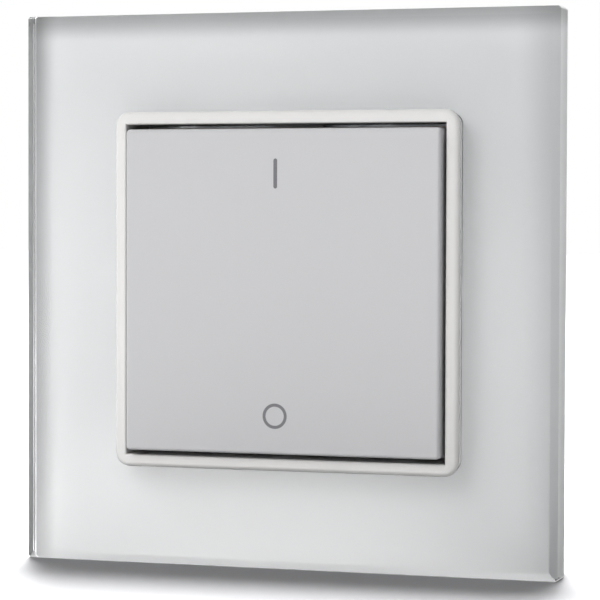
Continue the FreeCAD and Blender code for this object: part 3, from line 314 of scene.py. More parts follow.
def soften(piece, width, segments=2, degrees=30):
    """Rounds every sharp edge of a piece a little and shades the rounding smoothly."""
    bpy.ops.object.shade_smooth_by_angle(angle=math.radians(degrees))
    bevel = piece.modifiers.new("Softening", "BEVEL")
    bevel.width = width
    bevel.segments = segments
    bevel.limit_method = "ANGLE"
    bevel.angle_limit = math.radians(degrees)
    bevel.harden_normals = True
    bpy.ops.object.modifier_apply(modifier=bevel.name)


def hand_over(piece, name, body, material, replaced=()):
    """Names a finished piece, gives it its material and ties it to its body, if it has one."""
    piece.name = name
    piece.data.name = name
    piece.data.materials.clear()
    piece.data.materials.append(material)
    if body:
        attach(piece, body)
    if replaced:
        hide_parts(*replaced)


# Shader trees

# What a noise mostly covers, and its mean. The scales of noise and cells are in steps per metre.
NOISE_LOW = 0.3
NOISE_HIGH = 0.7
NOISE_MEAN = 0.5

# How far the crystals of a zinc coat are warped, and the scale of the threads in a board's cloth.
WARP = 2 * MM
THREAD_SCALE = 320

# The amount of dust in a speck, what dust adds to a roughness, and how crisp spots are.
SPECK = 0.15
DUST_ROUGHNESS = 0.35
CRISPNESS = 9.0

WHITE = (1, 1, 1, 1)
GREY = (0.6, 0.6, 0.6, 1)

# What a finish of a whole surface puts out.
SURFACE = {"Color": "Color", "Roughness": "Float", "Height": "Float"}

# Where the first node of a tree stands, and how far apart they stand.
FIRST_COLUMN = -1400
COLUMN_WIDTH = 180


class Wiring:
    """Adds nodes to one tree, from left to right, and links them as it goes."""

    def __init__(self, tree):
        self.tree = tree
        self.column = FIRST_COLUMN

    def add(self, kind, inputs=None, **settings):
        """Adds a node, sets it up and fills its inputs."""
        node = self.tree.nodes.new("ShaderNode" + kind)
        node.location = (self.column, 0)
        self.column += COLUMN_WIDTH
        for key, value in settings.items():
            setattr(node, key, value)
        self.fill(node, inputs or {})
        return node

    def fill(self, node, inputs):
        """Gives inputs of a node their links or values."""
        for key, value in inputs.items():
            if isinstance(value, bpy.types.NodeSocket):
                self.tree.links.new(value, node.inputs[key])
            else:
                node.inputs[key].default_value = value

    def place(self, stretch=(1, 1, 1), turn=(0, 0, 0)):
        """Object coordinates, stretched or turned."""
        coordinates = self.add("TexCoord")
        mapping = self.add("Mapping", {"Vector": coordinates.outputs["Object"],
                                       "Scale": stretch, "Rotation": turn})
        return mapping.outputs["Vector"]

    def noise(self, place, scale, detail=3.0, rough=0.55):
        node = self.add("TexNoise", {"Vector": place, "Scale": scale, "Detail": detail,
                                     "Roughness": rough})
        return node.outputs["Fac"]

    def cells(self, place, scale, **settings):
        return self.add("TexVoronoi", {"Vector": place, "Scale": scale}, **settings)

    def calc(self, operation, *values):
        """One step of arithmetic."""
        return self.add("Math", dict(enumerate(values)), operation=operation).outputs[0]

    def vector(self, operation, *values):
        """One step of arithmetic with vectors, and its outputs."""
        return self.add("VectorMath", dict(enumerate(values)), operation=operation).outputs

    def plus(self, first, second):
        return self.calc("ADD", first, second)

    def minus(self, first, second):
        return self.calc("SUBTRACT", first, second)

    def times(self, first, second):
        return self.calc("MULTIPLY", first, second)

    def span(self, value, low, high, to_low=0.0, to_high=1.0, curve="LINEAR"):
        """Maps a value from one range to another, and stops at the ends."""
        node = self.add("MapRange", {"Value": value, "From Min": low, "From Max": high,
                                     "To Min": to_low, "To Max": to_high},
                        interpolation_type=curve)
        return node.outputs["Result"]

    def vary(self, noise, low, high):
        """Spreads what a noise mostly covers from low to high."""
        return self.span(noise, NOISE_LOW, NOISE_HIGH, low, high)

    def blend(self, share, first, second):
        """Mixes two colours. These four sockets are the ones that a mix of colours uses."""
        return self.add("Mix", {0: share, 6: first, 7: second}, data_type="RGBA").outputs[2]

    def shade(self, rgba, tone):
        """Makes a colour lighter or darker."""
        return self.add("HueSaturation", {"Color": rgba, "Value": tone}).outputs["Color"]

    def bump(self, height, depth):
        return self.add("Bump", {"Height": height, "Distance": depth}).outputs["Normal"]


def opaque(rgb):
    """A colour with the fourth value that a socket wants."""
    return (*rgb, 1.0)


def kind_of(default):
    """The kind of socket that holds a default: a number, a vector or a colour."""
    if isinstance(default, float):
        return "Float"
    return {3: "Vector", 4: "Color"}[len(default)]


def group(name, inputs, outputs):
    """Starts a node group and returns its tree, its wiring and what its inputs give.

    The inputs are named with their defaults, and the outputs with their kinds.
    """
    tree = bpy.data.node_groups.new(name, "ShaderNodeTree")
    for label, default in inputs.items():
        socket = tree.interface.new_socket(label, in_out="INPUT",
                                           socket_type="NodeSocket" + kind_of(default))
        socket.default_value = default
    for label, kind in outputs.items():
        tree.interface.new_socket(label, in_out="OUTPUT", socket_type="NodeSocket" + kind)
    wiring = Wiring(tree)
    start = tree.nodes.new("NodeGroupInput")
    start.location = (wiring.column - COLUMN_WIDTH, 0)
    return tree, wiring, start.outputs


def close_group(tree, wiring, results):
    """Ends a node group with what it puts out."""
    end = tree.nodes.new("NodeGroupOutput")
    end.location = (wiring.column, 0)
    wiring.fill(end, results)


def moulded_skin():
    """Spark-eroded grain, slow drift of tone and flow marks of a moulding."""
    tree, wire, given = group(
        "Moulded skin",
        {"Color": GREY, "Drift": 0.03, "Grain": 6000.0, "Roughness": 0.45, "Spread": 0.1}, SURFACE)
    place = wire.place()
    slow = wire.noise(place, 28, 2.0)
    flow = wire.noise(wire.place((1.0, 1.0, 0.22)), 420)
    speck = wire.noise(place, 2600, 1.0)
    tone = wire.plus(wire.plus(slow, flow), speck)
    swing = wire.times(wire.minus(tone, 3 * NOISE_MEAN), given["Drift"])
    shade = wire.shade(given["Color"], wire.plus(swing, 1.0))
    pits = wire.cells(place, given["Grain"], feature="SMOOTH_F1").outputs["Distance"]
    fine = wire.noise(place, given["Grain"], 3.0, 0.65)
    height = wire.plus(pits, fine)
    matt = wire.minus(wire.plus(flow, fine), 2 * NOISE_MEAN)
    rough = wire.plus(wire.times(matt, given["Spread"]), given["Roughness"])
    close_group(tree, wire, {"Color": shade, "Roughness": rough, "Height": height})
    return tree


def settled_dust():
    """Fine dust on what looks up, and a few specks elsewhere."""
    tree, wire, given = group(
        "Settled dust",
        {"Color": GREY, "Roughness": 0.4, "Dust": (0.5, 0.5, 0.5, 1), "Amount": 0.2},
        {"Color": "Color", "Roughness": "Float"})
    place = wire.place()
    normal = wire.add("NewGeometry").outputs["Normal"]
    upward = wire.add("SeparateXYZ", {0: normal}).outputs["Z"]
    lying = wire.span(upward, 0.3, 1.0)
    film = wire.span(wire.noise(place, 900, 4.0), 0.42, 0.75)
    specks = wire.span(wire.cells(place, 1700).outputs["Distance"], 0.16, 0.08)
    mask = wire.plus(wire.times(film, lying), wire.times(specks, SPECK))
    share = wire.times(mask, given["Amount"])
    share.node.use_clamp = True
    shade = wire.blend(share, given["Color"], given["Dust"])
    rough = wire.plus(wire.times(share, DUST_ROUGHNESS), given["Roughness"])
    close_group(tree, wire, {"Color": shade, "Roughness": rough})
    return tree


def handling_marks():
    """Hair-fine scratches in two directions and broad wiping smears."""
    tree, wire, given = group("Handling marks", {"Scratches": 1.0, "Smears": 1.0},
                              {"Mask": "Float"})
    ways = []
    for stretch, turn in (((0.03, 1.0, 1.0), (0, 0.5, 0)), ((1.0, 1.0, 0.04), (0, 0.2, 0.3))):
        line = wire.span(wire.noise(wire.place(stretch, turn), 2200, 2.0), 0.7, 0.76)
        ways.append(wire.times(line, given["Scratches"]))
    scratches = wire.plus(*ways)
    smear = wire.span(wire.noise(wire.place((1.0, 1.0, 0.35), (0, 0.7, 0)), 60, 5.0), 0.45, 0.8)
    close_group(tree, wire, {"Mask": wire.plus(scratches, wire.times(smear, given["Smears"]))})
    return tree


def drawn_metal():
    """Streaks of rolled, drawn or extruded metal, with tarnish."""
    tree, wire, given = group(
        "Drawn metal",
        {"Color": GREY, "Roughness": 0.3, "Spread": 0.2, "Stretch": (0.05, 1, 1), "Tarnish": 0.1},
        SURFACE)
    coordinates = wire.add("TexCoord").outputs["Object"]
    streaky = wire.add("Mapping", {"Vector": coordinates, "Scale": given["Stretch"]})
    streak = wire.noise(streaky.outputs["Vector"], 4200, 4.0, 0.7)
    cloud = wire.noise(coordinates, 260, 5.0)
    dull = wire.times(wire.span(cloud, 0.4, 0.75), given["Tarnish"])
    tone = wire.vary(streak, 0.86, 1.08)
    shade = wire.shade(given["Color"], wire.minus(tone, dull))
    swing = wire.times(wire.minus(streak, NOISE_MEAN), given["Spread"])
    rough = wire.plus(wire.plus(swing, given["Roughness"]), dull)
    close_group(tree, wire, {"Color": shade, "Roughness": rough, "Height": streak})
    return tree


def zinc_spangle():
    """Crystals of a zinc coat, each with its own tone."""
    tree, wire, given = group("Zinc spangle", {"Color": GREY, "Crystals": 260.0}, SURFACE)
    place = wire.place()
    warp = wire.add("TexNoise", {"Vector": place, "Scale": 500, "Detail": 3.0})
    bent = wire.vector("MULTIPLY", warp.outputs["Color"], (WARP, WARP, WARP))["Vector"]
    crystal = wire.cells(wire.vector("ADD", place, bent)["Vector"], given["Crystals"])
    tone = wire.add("SeparateXYZ", {0: crystal.outputs["Color"]}).outputs["X"]
    shade = wire.shade(given["Color"], wire.span(tone, 0.0, 1.0, 0.8, 1.12))
    fine = wire.noise(place, 5200)
    rough = wire.plus(wire.span(tone, 0.0, 1.0, 0.28, 0.46), wire.vary(fine, -0.04, 0.06))
    close_group(tree, wire, {"Color": shade, "Roughness": rough, "Height": fine})
    return tree


def speckle():
    """Grains or pores: a mask of small round spots of uneven size."""
    tree, wire, given = group("Speckle", {"Scale": 3000.0, "Size": 0.3},
                              {"Mask": "Float", "Height": "Float"})
    place = wire.place()
    spot = wire.cells(place, given["Scale"]).outputs["Distance"]
    uneven = wire.vary(wire.noise(place, 800), 0.6, 1.3)
    edge = wire.times(given["Size"], uneven)
    inside = wire.times(wire.minus(edge, spot), CRISPNESS)
    inside.node.use_clamp = True
    close_group(tree, wire, {"Mask": inside, "Height": spot})
    return tree


def laminate_weave():
    """The cloth and tracks of a circuit board, as its green mask shows them."""
    tree, wire, given = group(
        "Laminate weave",
        {"Color": (0.05, 0.2, 0.09, 1), "Track": (0.1, 0.34, 0.15, 1)}, SURFACE)
    place = wire.place()
    threads = [wire.add("TexWave", {"Vector": place, "Scale": THREAD_SCALE, "Distortion": 0.4},
                        bands_direction=axis).outputs["Fac"] for axis in ("X", "Z")]
    weave = wire.times(*threads)
    squares = wire.cells(wire.place((1, 0, 1)), 300, distance="CHEBYCHEV")
    squares.inputs["Randomness"].default_value = 0.75
    lane = wire.span(squares.outputs["Distance"], 0.33, 0.36)
    cloth = wire.shade(given["Color"], wire.span(weave, 0.0, 1.0, 0.9, 1.15))
    shade = wire.blend(lane, cloth, given["Track"])
    rough = wire.span(weave, 0.0, 1.0, 0.24, 0.34)
    height = wire.plus(wire.times(weave, 0.25), lane)
    close_group(tree, wire, {"Color": shade, "Roughness": rough, "Height": height})
    return tree


GROUPS = {}


def use(wire, maker, inputs=None):
    """Places a group in a tree. It is made the first time that it is asked for."""
    if maker not in GROUPS:
        GROUPS[maker] = maker()
    return wire.add("Group", inputs, node_tree=GROUPS[maker]).outputs


def new_finish(name):
    """A new material with its wiring and its one shader."""
    material = bpy.data.materials.new(name)
    material.use_nodes = True
    shader = material.node_tree.nodes["Principled BSDF"]
    return material, Wiring(material.node_tree), shader


# Finishes

# How much handling marks roughen a moulding, and how much they dull galvanised sheet.
MOULDING_MARKS = 0.05
SHEET_MARKS = 0.1

STREAK_DEPTH = 0.002 * MM
SPANGLE_DEPTH = 0.003 * MM
INK_DEPTH = 0.002 * MM
WEAVE_DEPTH = 0.02 * MM
STRAND_DEPTH = 0.1 * MM
PEEL_DEPTH = 0.03 * MM

WINDING_TURNS = 44

# What glass lets through at a wiping mark.
WIPED = (0.975, 0.98, 0.98, 1)
ZINC = (0.6, 0.62, 0.64, 1)
COPPER = (0.62, 0.2, 0.06, 1)
# Painted shade in the grooves between the turns of a winding.
SHADE_BETWEEN_TURNS = (0.05, 0.015, 0.006, 1)
DIP_BLUE = (0.03, 0.1, 0.38, 1)


def moulding(name, rgb, roughness, grain, depth=0.006 * MM, drift=0.03, dust=0.15, gloss=0.5):
    """A moulded plastic with its grain, its drift of tone, handling marks and dust."""
    material, wire, shader = new_finish(name)
    skin = use(wire, moulded_skin, {"Color": opaque(rgb), "Drift": drift, "Grain": grain,
                                    "Roughness": roughness})
    worn = use(wire, handling_marks, {"Scratches": 1.0, "Smears": 0.6})
    touched = wire.plus(wire.times(worn["Mask"], MOULDING_MARKS), skin["Roughness"])
    dusty = use(wire, settled_dust, {"Color": skin["Color"], "Roughness": touched,
                                     "Dust": opaque(bpy.context.scene.dimmer_finish.dust),
                                     "Amount": dust})
    wire.fill(shader, {"Base Color": dusty["Color"], "Roughness": dusty["Roughness"],
                       "Normal": wire.bump(skin["Height"], depth), "Specular IOR Level": gloss})
    return material


def bare_metal(name, rgb, roughness, spread, stretch, tarnish=0.1):
    """A bare metal with its streaks and a little tarnish."""
    material, wire, shader = new_finish(name)
    metal = use(wire, drawn_metal, {"Color": opaque(rgb), "Roughness": roughness,
                                    "Spread": spread, "Stretch": stretch, "Tarnish": tarnish})
    wire.fill(shader, {"Base Color": metal["Color"], "Roughness": metal["Roughness"],
                       "Normal": wire.bump(metal["Height"], STREAK_DEPTH), "Metallic": 1.0})
    return material


def spotted(name, rgb, spots, scale, size, roughness, depth):
    """A grainy or cellular material, such as foam, ceramic, pressed powder or silicone."""
    material, wire, shader = new_finish(name)
    skin = use(wire, moulded_skin, {"Color": opaque(rgb), "Drift": 0.08, "Grain": scale,
                                    "Roughness": roughness})
    grains = use(wire, speckle, {"Scale": scale, "Size": size})
    wire.fill(shader, {"Base Color": wire.blend(grains["Mask"], skin["Color"], opaque(spots)),
                       "Roughness": skin["Roughness"],
                       "Normal": wire.bump(grains["Height"], depth)})
    return material


def clear_glass():
    """Polished float glass, with the faint marks of a wiping cloth."""
    glass = bpy.context.scene.dimmer_glass
    material, wire, shader = new_finish("Clear glass")
    marks = use(wire, handling_marks, {"Scratches": 0.4, "Smears": 1.0})
    wire.fill(shader, {"Base Color": wire.blend(marks["Mask"], WHITE, WIPED), "Roughness": 0.0,
                       "IOR": glass.index, "Transmission Weight": 1.0})
    absorption = wire.add("VolumeAbsorption", {"Color": opaque(glass.tint),
                                               "Density": glass.tint_density})
    end = material.node_tree.nodes["Material Output"]
    wire.fill(end, {"Volume": absorption.outputs["Volume"]})
    return material


def back_paint():
    """White paint in optical contact with the glass, so it has no gloss of its own."""
    glass = bpy.context.scene.dimmer_glass
    material, wire, shader = new_finish("Back paint")
    place = wire.place()
    cloud = wire.noise(place, 70)
    fleck = wire.noise(place, 3000, 2.0)
    tone = wire.plus(wire.vary(cloud, 0.992, 1.004), wire.vary(fleck, 0, 0.006))
    parts = wire.add("SeparateXYZ", {0: place}).outputs
    # Painted shade: the paint's colour falls smoothly to a darker tone towards the left, right and
    # top edges of the glass.
    for axis, edge, band, darkest in (
            ("X", GLASS_LOW.x, glass.painted_shade_left, glass.painted_shade_tone),
            ("X", GLASS_HIGH.x, glass.painted_shade_right, glass.painted_shade_tone_right),
            ("Z", GLASS_HIGH.z, glass.painted_shade_top, glass.painted_shade_tone)):
        inner = edge - math.copysign(band, edge)
        shaded = wire.span(parts[axis], inner, edge, 1.0, darkest, "SMOOTHSTEP")
        tone = wire.times(tone, shaded)
    wire.fill(shader, {"Base Color": wire.shade(opaque(glass.paint), tone),
                       "Roughness": wire.vary(fleck, 0.6, 0.75), "Specular IOR Level": 0.0})
    return material


def print_ink():
    """Grey pad-printing ink, slightly uneven in tone and gloss."""
    material, wire, shader = new_finish("Print ink")
    ink = opaque(bpy.context.scene.dimmer_print.ink)
    grain = wire.noise(wire.place(), 9000)
    wire.fill(shader, {"Base Color": wire.shade(ink, wire.vary(grain, 0.85, 1.12)),
                       "Roughness": wire.vary(grain, 0.4, 0.55),
                       "Normal": wire.bump(grain, INK_DEPTH)})
    return material


def galvanised():
    """Galvanised sheet with its spangle."""
    material, wire, shader = new_finish("Galvanised steel")
    zinc = use(wire, zinc_spangle, {"Color": ZINC})
    worn = use(wire, handling_marks, {"Scratches": 0.8, "Smears": 0.5})
    rough = wire.plus(zinc["Roughness"], wire.times(worn["Mask"], SHEET_MARKS))
    wire.fill(shader, {"Base Color": zinc["Color"], "Roughness": rough,
                       "Normal": wire.bump(zinc["Height"], SPANGLE_DEPTH), "Metallic": 1.0})
    return material


def circuit_board():
    """Woven laminate under a green solder mask, with tracks."""
    material, wire, shader = new_finish("Circuit board")
    board = use(wire, laminate_weave)
    wire.fill(shader, {"Base Color": board["Color"], "Roughness": board["Roughness"],
                       "Normal": wire.bump(board["Height"], WEAVE_DEPTH),
                       "Coat Weight": 0.4, "Coat Roughness": 0.2})
    return material


def wound_wire():
    """Enamelled copper wire, turn beside turn round the core."""
    material, wire, shader = new_finish("Enamelled copper")
    low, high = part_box("choke_winding")
    coordinates = wire.add("TexCoord").outputs["Object"]
    centred = wire.vector("SUBTRACT", coordinates, (low + high) / 2)["Vector"]
    parts = wire.add("SeparateXYZ", {0: centred}).outputs
    turn = wire.calc("ARCTAN2", parts["Z"], parts["X"])
    strands = wire.calc("SINE", wire.times(turn, WINDING_TURNS))
    # Painted shade: the grooves between the turns are darkened towards a near-black brown.
    groove_shade = wire.span(strands, -1.0, -0.4)
    patina = wire.noise(coordinates, 700, 4.0)
    copper = wire.shade(COPPER, wire.vary(patina, 0.85, 1.12))
    wire.fill(shader, {"Base Color": wire.blend(groove_shade, SHADE_BETWEEN_TURNS, copper),
                       "Roughness": wire.vary(patina, 0.2, 0.34),
                       "Normal": wire.bump(strands, STRAND_DEPTH), "Metallic": 0.85,
                       "Coat Weight": 0.5, "Coat Roughness": 0.1})
    return material


def dipped_coat():
    """The glossy dip coat of the varistor."""
    material, wire, shader = new_finish("Dip coat")
    place = wire.place()
    peel = wire.noise(place, 1300, 2.0)
    drift = wire.noise(place, 260)
    wire.fill(shader, {"Base Color": wire.shade(DIP_BLUE, wire.vary(drift, 0.85, 1.15)),
                       "Roughness": wire.vary(peel, 0.18, 0.3),
                       "Normal": wire.bump(peel, PEEL_DEPTH)})
    return material


def finishes():
    """How the finish of each material slot is made."""
    look = bpy.context.scene.dimmer_finish
    return {
        "carrier_plastic": lambda: moulding(
            "Carrier plastic", look.carrier, roughness=0.5, grain=4200),
        "bezel_plastic": lambda: moulding(
            "Rim plastic", look.rim, roughness=0.35, grain=9000, depth=0.0015 * MM,
            drift=0.012, dust=0.05, gloss=0.3),
        "rocker_plastic": lambda: moulding(
            "Rocker plastic", look.rocker, roughness=0.5, grain=7000, depth=0.004 * MM,
            drift=0.012, dust=0.05, gloss=0.2),
        "slide_plastic": lambda: moulding(
            "Acetal", (0.8, 0.79, 0.74), roughness=0.28, grain=9000, depth=0.002 * MM),
        "base_plastic": lambda: moulding(
            "Base plastic", look.base, roughness=0.5, grain=3600, depth=0.012 * MM,
            drift=0.05, dust=0.1),
        "housing_plastic": lambda: moulding(
            "Housing plastic", (0.1, 0.1, 0.11), roughness=0.48, grain=3000,
            depth=0.014 * MM, drift=0.05, dust=0.12),
        "terminal_plastic": lambda: moulding(
            "Terminal plastic", (0.45, 0.46, 0.47), roughness=0.5, grain=4000,
            depth=0.01 * MM, drift=0.05),
        "component_black": lambda: moulding(
            "Moulded epoxy", (0.04, 0.04, 0.045), roughness=0.55, grain=8000,
            depth=0.008 * MM, drift=0.1),
        "capacitor_case": lambda: moulding(
            "Capacitor case", (0.75, 0.55, 0.08), roughness=0.3, grain=9000,
            depth=0.002 * MM, drift=0.04),
        "can_aluminium": lambda: moulding(
            "Can sleeve", (0.08, 0.09, 0.12), roughness=0.25, grain=9000,
            depth=0.002 * MM, drift=0.06),
        "spring_steel": lambda: bare_metal(
            "Spring steel", (0.6, 0.6, 0.6), roughness=0.22, spread=0.2, stretch=(1, 1, 0.1)),
        "screw_steel": lambda: bare_metal(
            "Zinc plated steel", (0.62, 0.61, 0.56), roughness=0.3, spread=0.2,
            stretch=(1, 0.1, 1), tarnish=0.14),
        "terminal_brass": lambda: bare_metal(
            "Brass", (0.72, 0.5, 0.2), roughness=0.28, spread=0.18, stretch=(1, 1, 0.08),
            tarnish=0.16),
        "sink_aluminium": lambda: bare_metal(
            "Extruded aluminium", (0.7, 0.7, 0.71), roughness=0.36, spread=0.24,
            stretch=(1, 1, 0.03), tarnish=0.06),
        "fuse_metal": lambda: bare_metal(
            "Nickel plate", (0.72, 0.72, 0.7), roughness=0.16, spread=0.1,
            stretch=(0.2, 1, 1), tarnish=0.05),
        "foam_tape": lambda: spotted(
            "Foam tape", (0.75, 0.75, 0.73), spots=(0.5, 0.5, 0.48), scale=5200, size=0.3,
            roughness=0.8, depth=0.05 * MM),
        "component_ceramic": lambda: spotted(
            "Ceramic", (0.35, 0.3, 0.24), spots=(0.5, 0.46, 0.4), scale=9000, size=0.2,
            roughness=0.5, depth=0.01 * MM),
        "powdered_iron": lambda: spotted(
            "Powdered iron", (0.45, 0.38, 0.06), spots=(0.25, 0.22, 0.05), scale=5200,
            size=0.26, roughness=0.45, depth=0.03 * MM),
        "pad_silicone": lambda: spotted(
            "Silicone pad", (0.42, 0.5, 0.55), spots=(0.6, 0.66, 0.7), scale=6000,
            size=0.14, roughness=0.6, depth=0.012 * MM),
        "galvanised_steel": galvanised,
        "board_laminate": circuit_board,
        "enamelled_copper": wound_wire,
        "varistor_coat": dipped_coat,
    }


DRESSED = {}


def dress(*names):
    """Gives CAD nodes the finish of their slot. The material is made once for each slot."""
    for name in names:
        slot = SLOT_OF[name]
        if slot not in DRESSED:
            DRESSED[slot] = finishes()[slot]()
        node = frame["nodes"][name]
        node.data.materials.clear()
        node.data.materials.append(DRESSED[slot])


# Light

# Round patches of light: azimuth and elevation, then the radii between which each fades out.
# All are in degrees, and an azimuth counts to the right from the front.
FRONT_PATCH = (-10, 5, 5, 46)
REAR_PATCH = (160, 25, 10, 85)
GLOW_PATCH = (-20, -5, 1, 11)
LOW_GLOW_PATCH = (-20, -24, 10, 21)
TABLE_PATCH = (-19, -9, 1, 6.5)
BACKDROP_RADII = (10, 32)

# A ray with fewer diffuse bounces than this has met no matt surface yet.
FIRST_BOUNCE = 0.5

# The floor's side, and how its own white grows with the distance from the object, in metres.
FLOOR_SIDE = 6
WHITE_BEGINS = 0.1
WHITE_FULL = 0.4
LEAST_WHITE = 0.03


def seen_directly(wire):
    """One for what the camera, gloss and glass see, and nought for what lights a surface."""
    path = wire.add("LightPath").outputs
    direct = path["Is Camera Ray"]
    for kind in ("Is Glossy Ray", "Is Transmission Ray"):
        direct = wire.calc("MAXIMUM", direct, path[kind])
    first = wire.calc("LESS_THAN", path["Diffuse Depth"], FIRST_BOUNCE)
    return wire.times(direct, first)


def heading(azimuth, elevation):
    """The direction of an azimuth and an elevation, in degrees."""
    across, up = math.radians(azimuth), math.radians(elevation)
    return Vector((math.sin(across) * math.cos(up), -math.cos(across) * math.cos(up),
                   math.sin(up)))


def lobe(wire, direction, patch, strength):
    """Light from a round patch that fades between its two radii."""
    azimuth, elevation, inner, outer = patch
    near = wire.vector("DOT_PRODUCT", direction, heading(azimuth, elevation))["Value"]
    return wire.span(near, math.cos(math.radians(outer)), math.cos(math.radians(inner)),
                     0.0, strength, "SMOOTHSTEP")


# Place, width and depth of each lamp, in metres.
KEY_LAMP = (0.7 * heading(-32, 42), 0.45, 0.45)
TOP_LAMP = (Vector((0.0, 0.26, 0.85)), 0.3, 0.3)
FLOOR_LAMP = (Vector((-0.11, 0.34, 0.85)), 0.3, 0.5)


# Operators

class DIMMER_OT_glass(Operator):
    """Models the polished glass and the paint on its back"""
    bl_idname = "dimmer.glass"
    bl_label = "Glass and paint"

    def execute(self, context):
        glass = context.scene.dimmer_glass
        opening = RIM_HIGH.x - glass.rim_lap
        self.grind_pane(glass, GLASS_HIGH.x, opening)
        self.paint_back(glass, GLASS_HIGH.x - glass.paint_margin, opening + glass.paint_margin)
        return {"FINISHED"}

    def grind_pane(self, glass, half, opening):
        """The pane with its opening, its front bevel and its dubbed corners."""
        front, back = GLASS_LOW.y, GLASS_HIGH.y
        pane = square_frame(half, opening, front, back, glass.opening_corner)
        flat_bevel(half, front, glass.arris, glass.arris_fall)
        dub_corners(half, glass.corner)
        leave_edit_mode()
        soften(pane, glass.softening, degrees=5)
        hand_over(pane, "glass_pane", "root", clear_glass(), ("glass_panel",))

    def paint_back(self, glass, half, opening):
        """The coat of paint, just inside the back of the pane."""
        behind = GLASS_HIGH.y - PAINT_DEPTH
        paint = square_frame(half, opening, behind - glass.paint_skin, behind,
                             glass.opening_corner)
        dub_corners(half, glass.corner)
        leave_edit_mode()
        hand_over(paint, "back_paint", "root", back_paint())


class DIMMER_OT_front(Operator):
    """Gives the inner rim and the rocker their moulded finishes"""
    bl_idname = "dimmer.front"
    bl_label = "Rim and rocker"

    def execute(self, context):
        dress("bezel", "rocker")
        return {"FINISHED"}


class DIMMER_OT_print(Operator):
    """Prints the bar and the ring on the rocker"""
    bl_idname = "dimmer.print"
    bl_label = "Print"

    def execute(self, context):
        mark = context.scene.dimmer_print
        middle = (ROCKER_LOW.x + ROCKER_HIGH.x) / 2 - mark.shift
        ink = print_ink()
        self.print_bar(mark, middle, ink)
        self.print_ring(mark, middle, ink)
        return {"FINISHED"}

    def print_bar(self, mark, middle, ink):
        """The upper mark, with round ends."""
        half = Vector((mark.bar_width / 2, 0, mark.bar_height / 2))
        centre = Vector((middle, ROCKER_LOW.y, mark.bar_rise))
        skin = Vector((0, mark.ink_skin, 0))
        bar = add_block(centre - half - skin, centre + half)
        bpy.ops.object.mode_set(mode="EDIT")
        pick("edges", along_depth)
        bpy.ops.mesh.bevel(offset=BAR_ROUNDING * mark.bar_width, segments=BAR_STEPS,
                           affect="EDGES")
        leave_edit_mode()
        soften(bar, mark.ink_skin / 4, segments=1)
        hand_over(bar, "print_bar", "rocker", ink)

    def print_ring(self, mark, middle, ink):
        """The lower mark."""
        deselect_all()
        bpy.ops.mesh.primitive_cylinder_add(
            vertices=RING_STEPS, radius=mark.ring_diameter / 2, depth=mark.ink_skin,
            location=(middle, ROCKER_LOW.y - mark.ink_skin / 2, -mark.ring_drop),
            rotation=(math.pi / 2, 0, 0))
        apply_place()
        ring = bpy.context.object
        bpy.ops.object.mode_set(mode="EDIT")
        pick("faces", faces_level)
        bpy.ops.mesh.inset(thickness=mark.ring_line, depth=0)
        bpy.ops.mesh.bridge_edge_loops()
        leave_edit_mode()
        soften(ring, mark.ink_skin / 4, segments=1)
        hand_over(ring, "print_ring", "rocker", ink)


class DIMMER_OT_mounting(Operator):
    """Gives the tape, the carrier, the support plate and the housing their finishes"""
    bl_idname = "dimmer.mounting"
    bl_label = "Carrier, plate and housing"

    def execute(self, context):
        dress("adhesive_strips", "frame_carrier", "support_plate", "insert_housing",
              "housing_screws")
        return {"FINISHED"}


class DIMMER_OT_mechanism(Operator):
    """Gives the push mechanism its finishes and puts smoothly shaded copies in place of its springs
    """
    bl_idname = "dimmer.mechanism"
    bl_label = "Push mechanism"

    def execute(self, context):
        dress("mechanism_base")
        for end in ("top", "bottom"):
            dress("plunger_" + end, "return_spring_" + end, "snap_dome_" + end)
            self.wind_coil(end)
        return {"FINISHED"}

    def wind_coil(self, end):
        """A smoothly shaded copy of a spring, which takes the spring's place."""
        node = "return_spring_" + end
        coil = bpy.data.objects.new("return_coil_" + end, frame["nodes"][node].data.copy())
        bpy.context.scene.collection.objects.link(coil)
        deselect_all()
        coil.select_set(True)
        bpy.context.view_layer.objects.active = coil
        bpy.ops.object.mode_set(mode="EDIT")
        leave_edit_mode()
        bpy.ops.object.shade_smooth_by_angle(angle=math.radians(COIL_SHARPNESS))
        slot = SLOT_OF[node]
        hand_over(coil, "return_coil_" + end, None, DRESSED[slot], (node,))
        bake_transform(coil)


class DIMMER_OT_boards(Operator):
    """Gives the two boards and what is on them their finishes"""
    bl_idname = "dimmer.boards"
    bl_label = "Boards and components"

    def execute(self, context):
        dress("control_board", "control_chip", "surface_parts", "board_connector", "power_board",
              "board_screws", "choke_core", "choke_winding", "film_capacitor", "bulk_capacitor",
              "fuse", "varistor", "mosfets", "thermal_pad", "heat_sink")
        return {"FINISHED"}


class DIMMER_OT_terminals(Operator):
    """Gives the terminal block, its cages and its screws their finishes"""
    bl_idname = "dimmer.terminals"
    bl_label = "Terminals"

    def execute(self, context):
        dress("terminal_body", "terminal_cages", "terminal_screws")
        return {"FINISHED"}


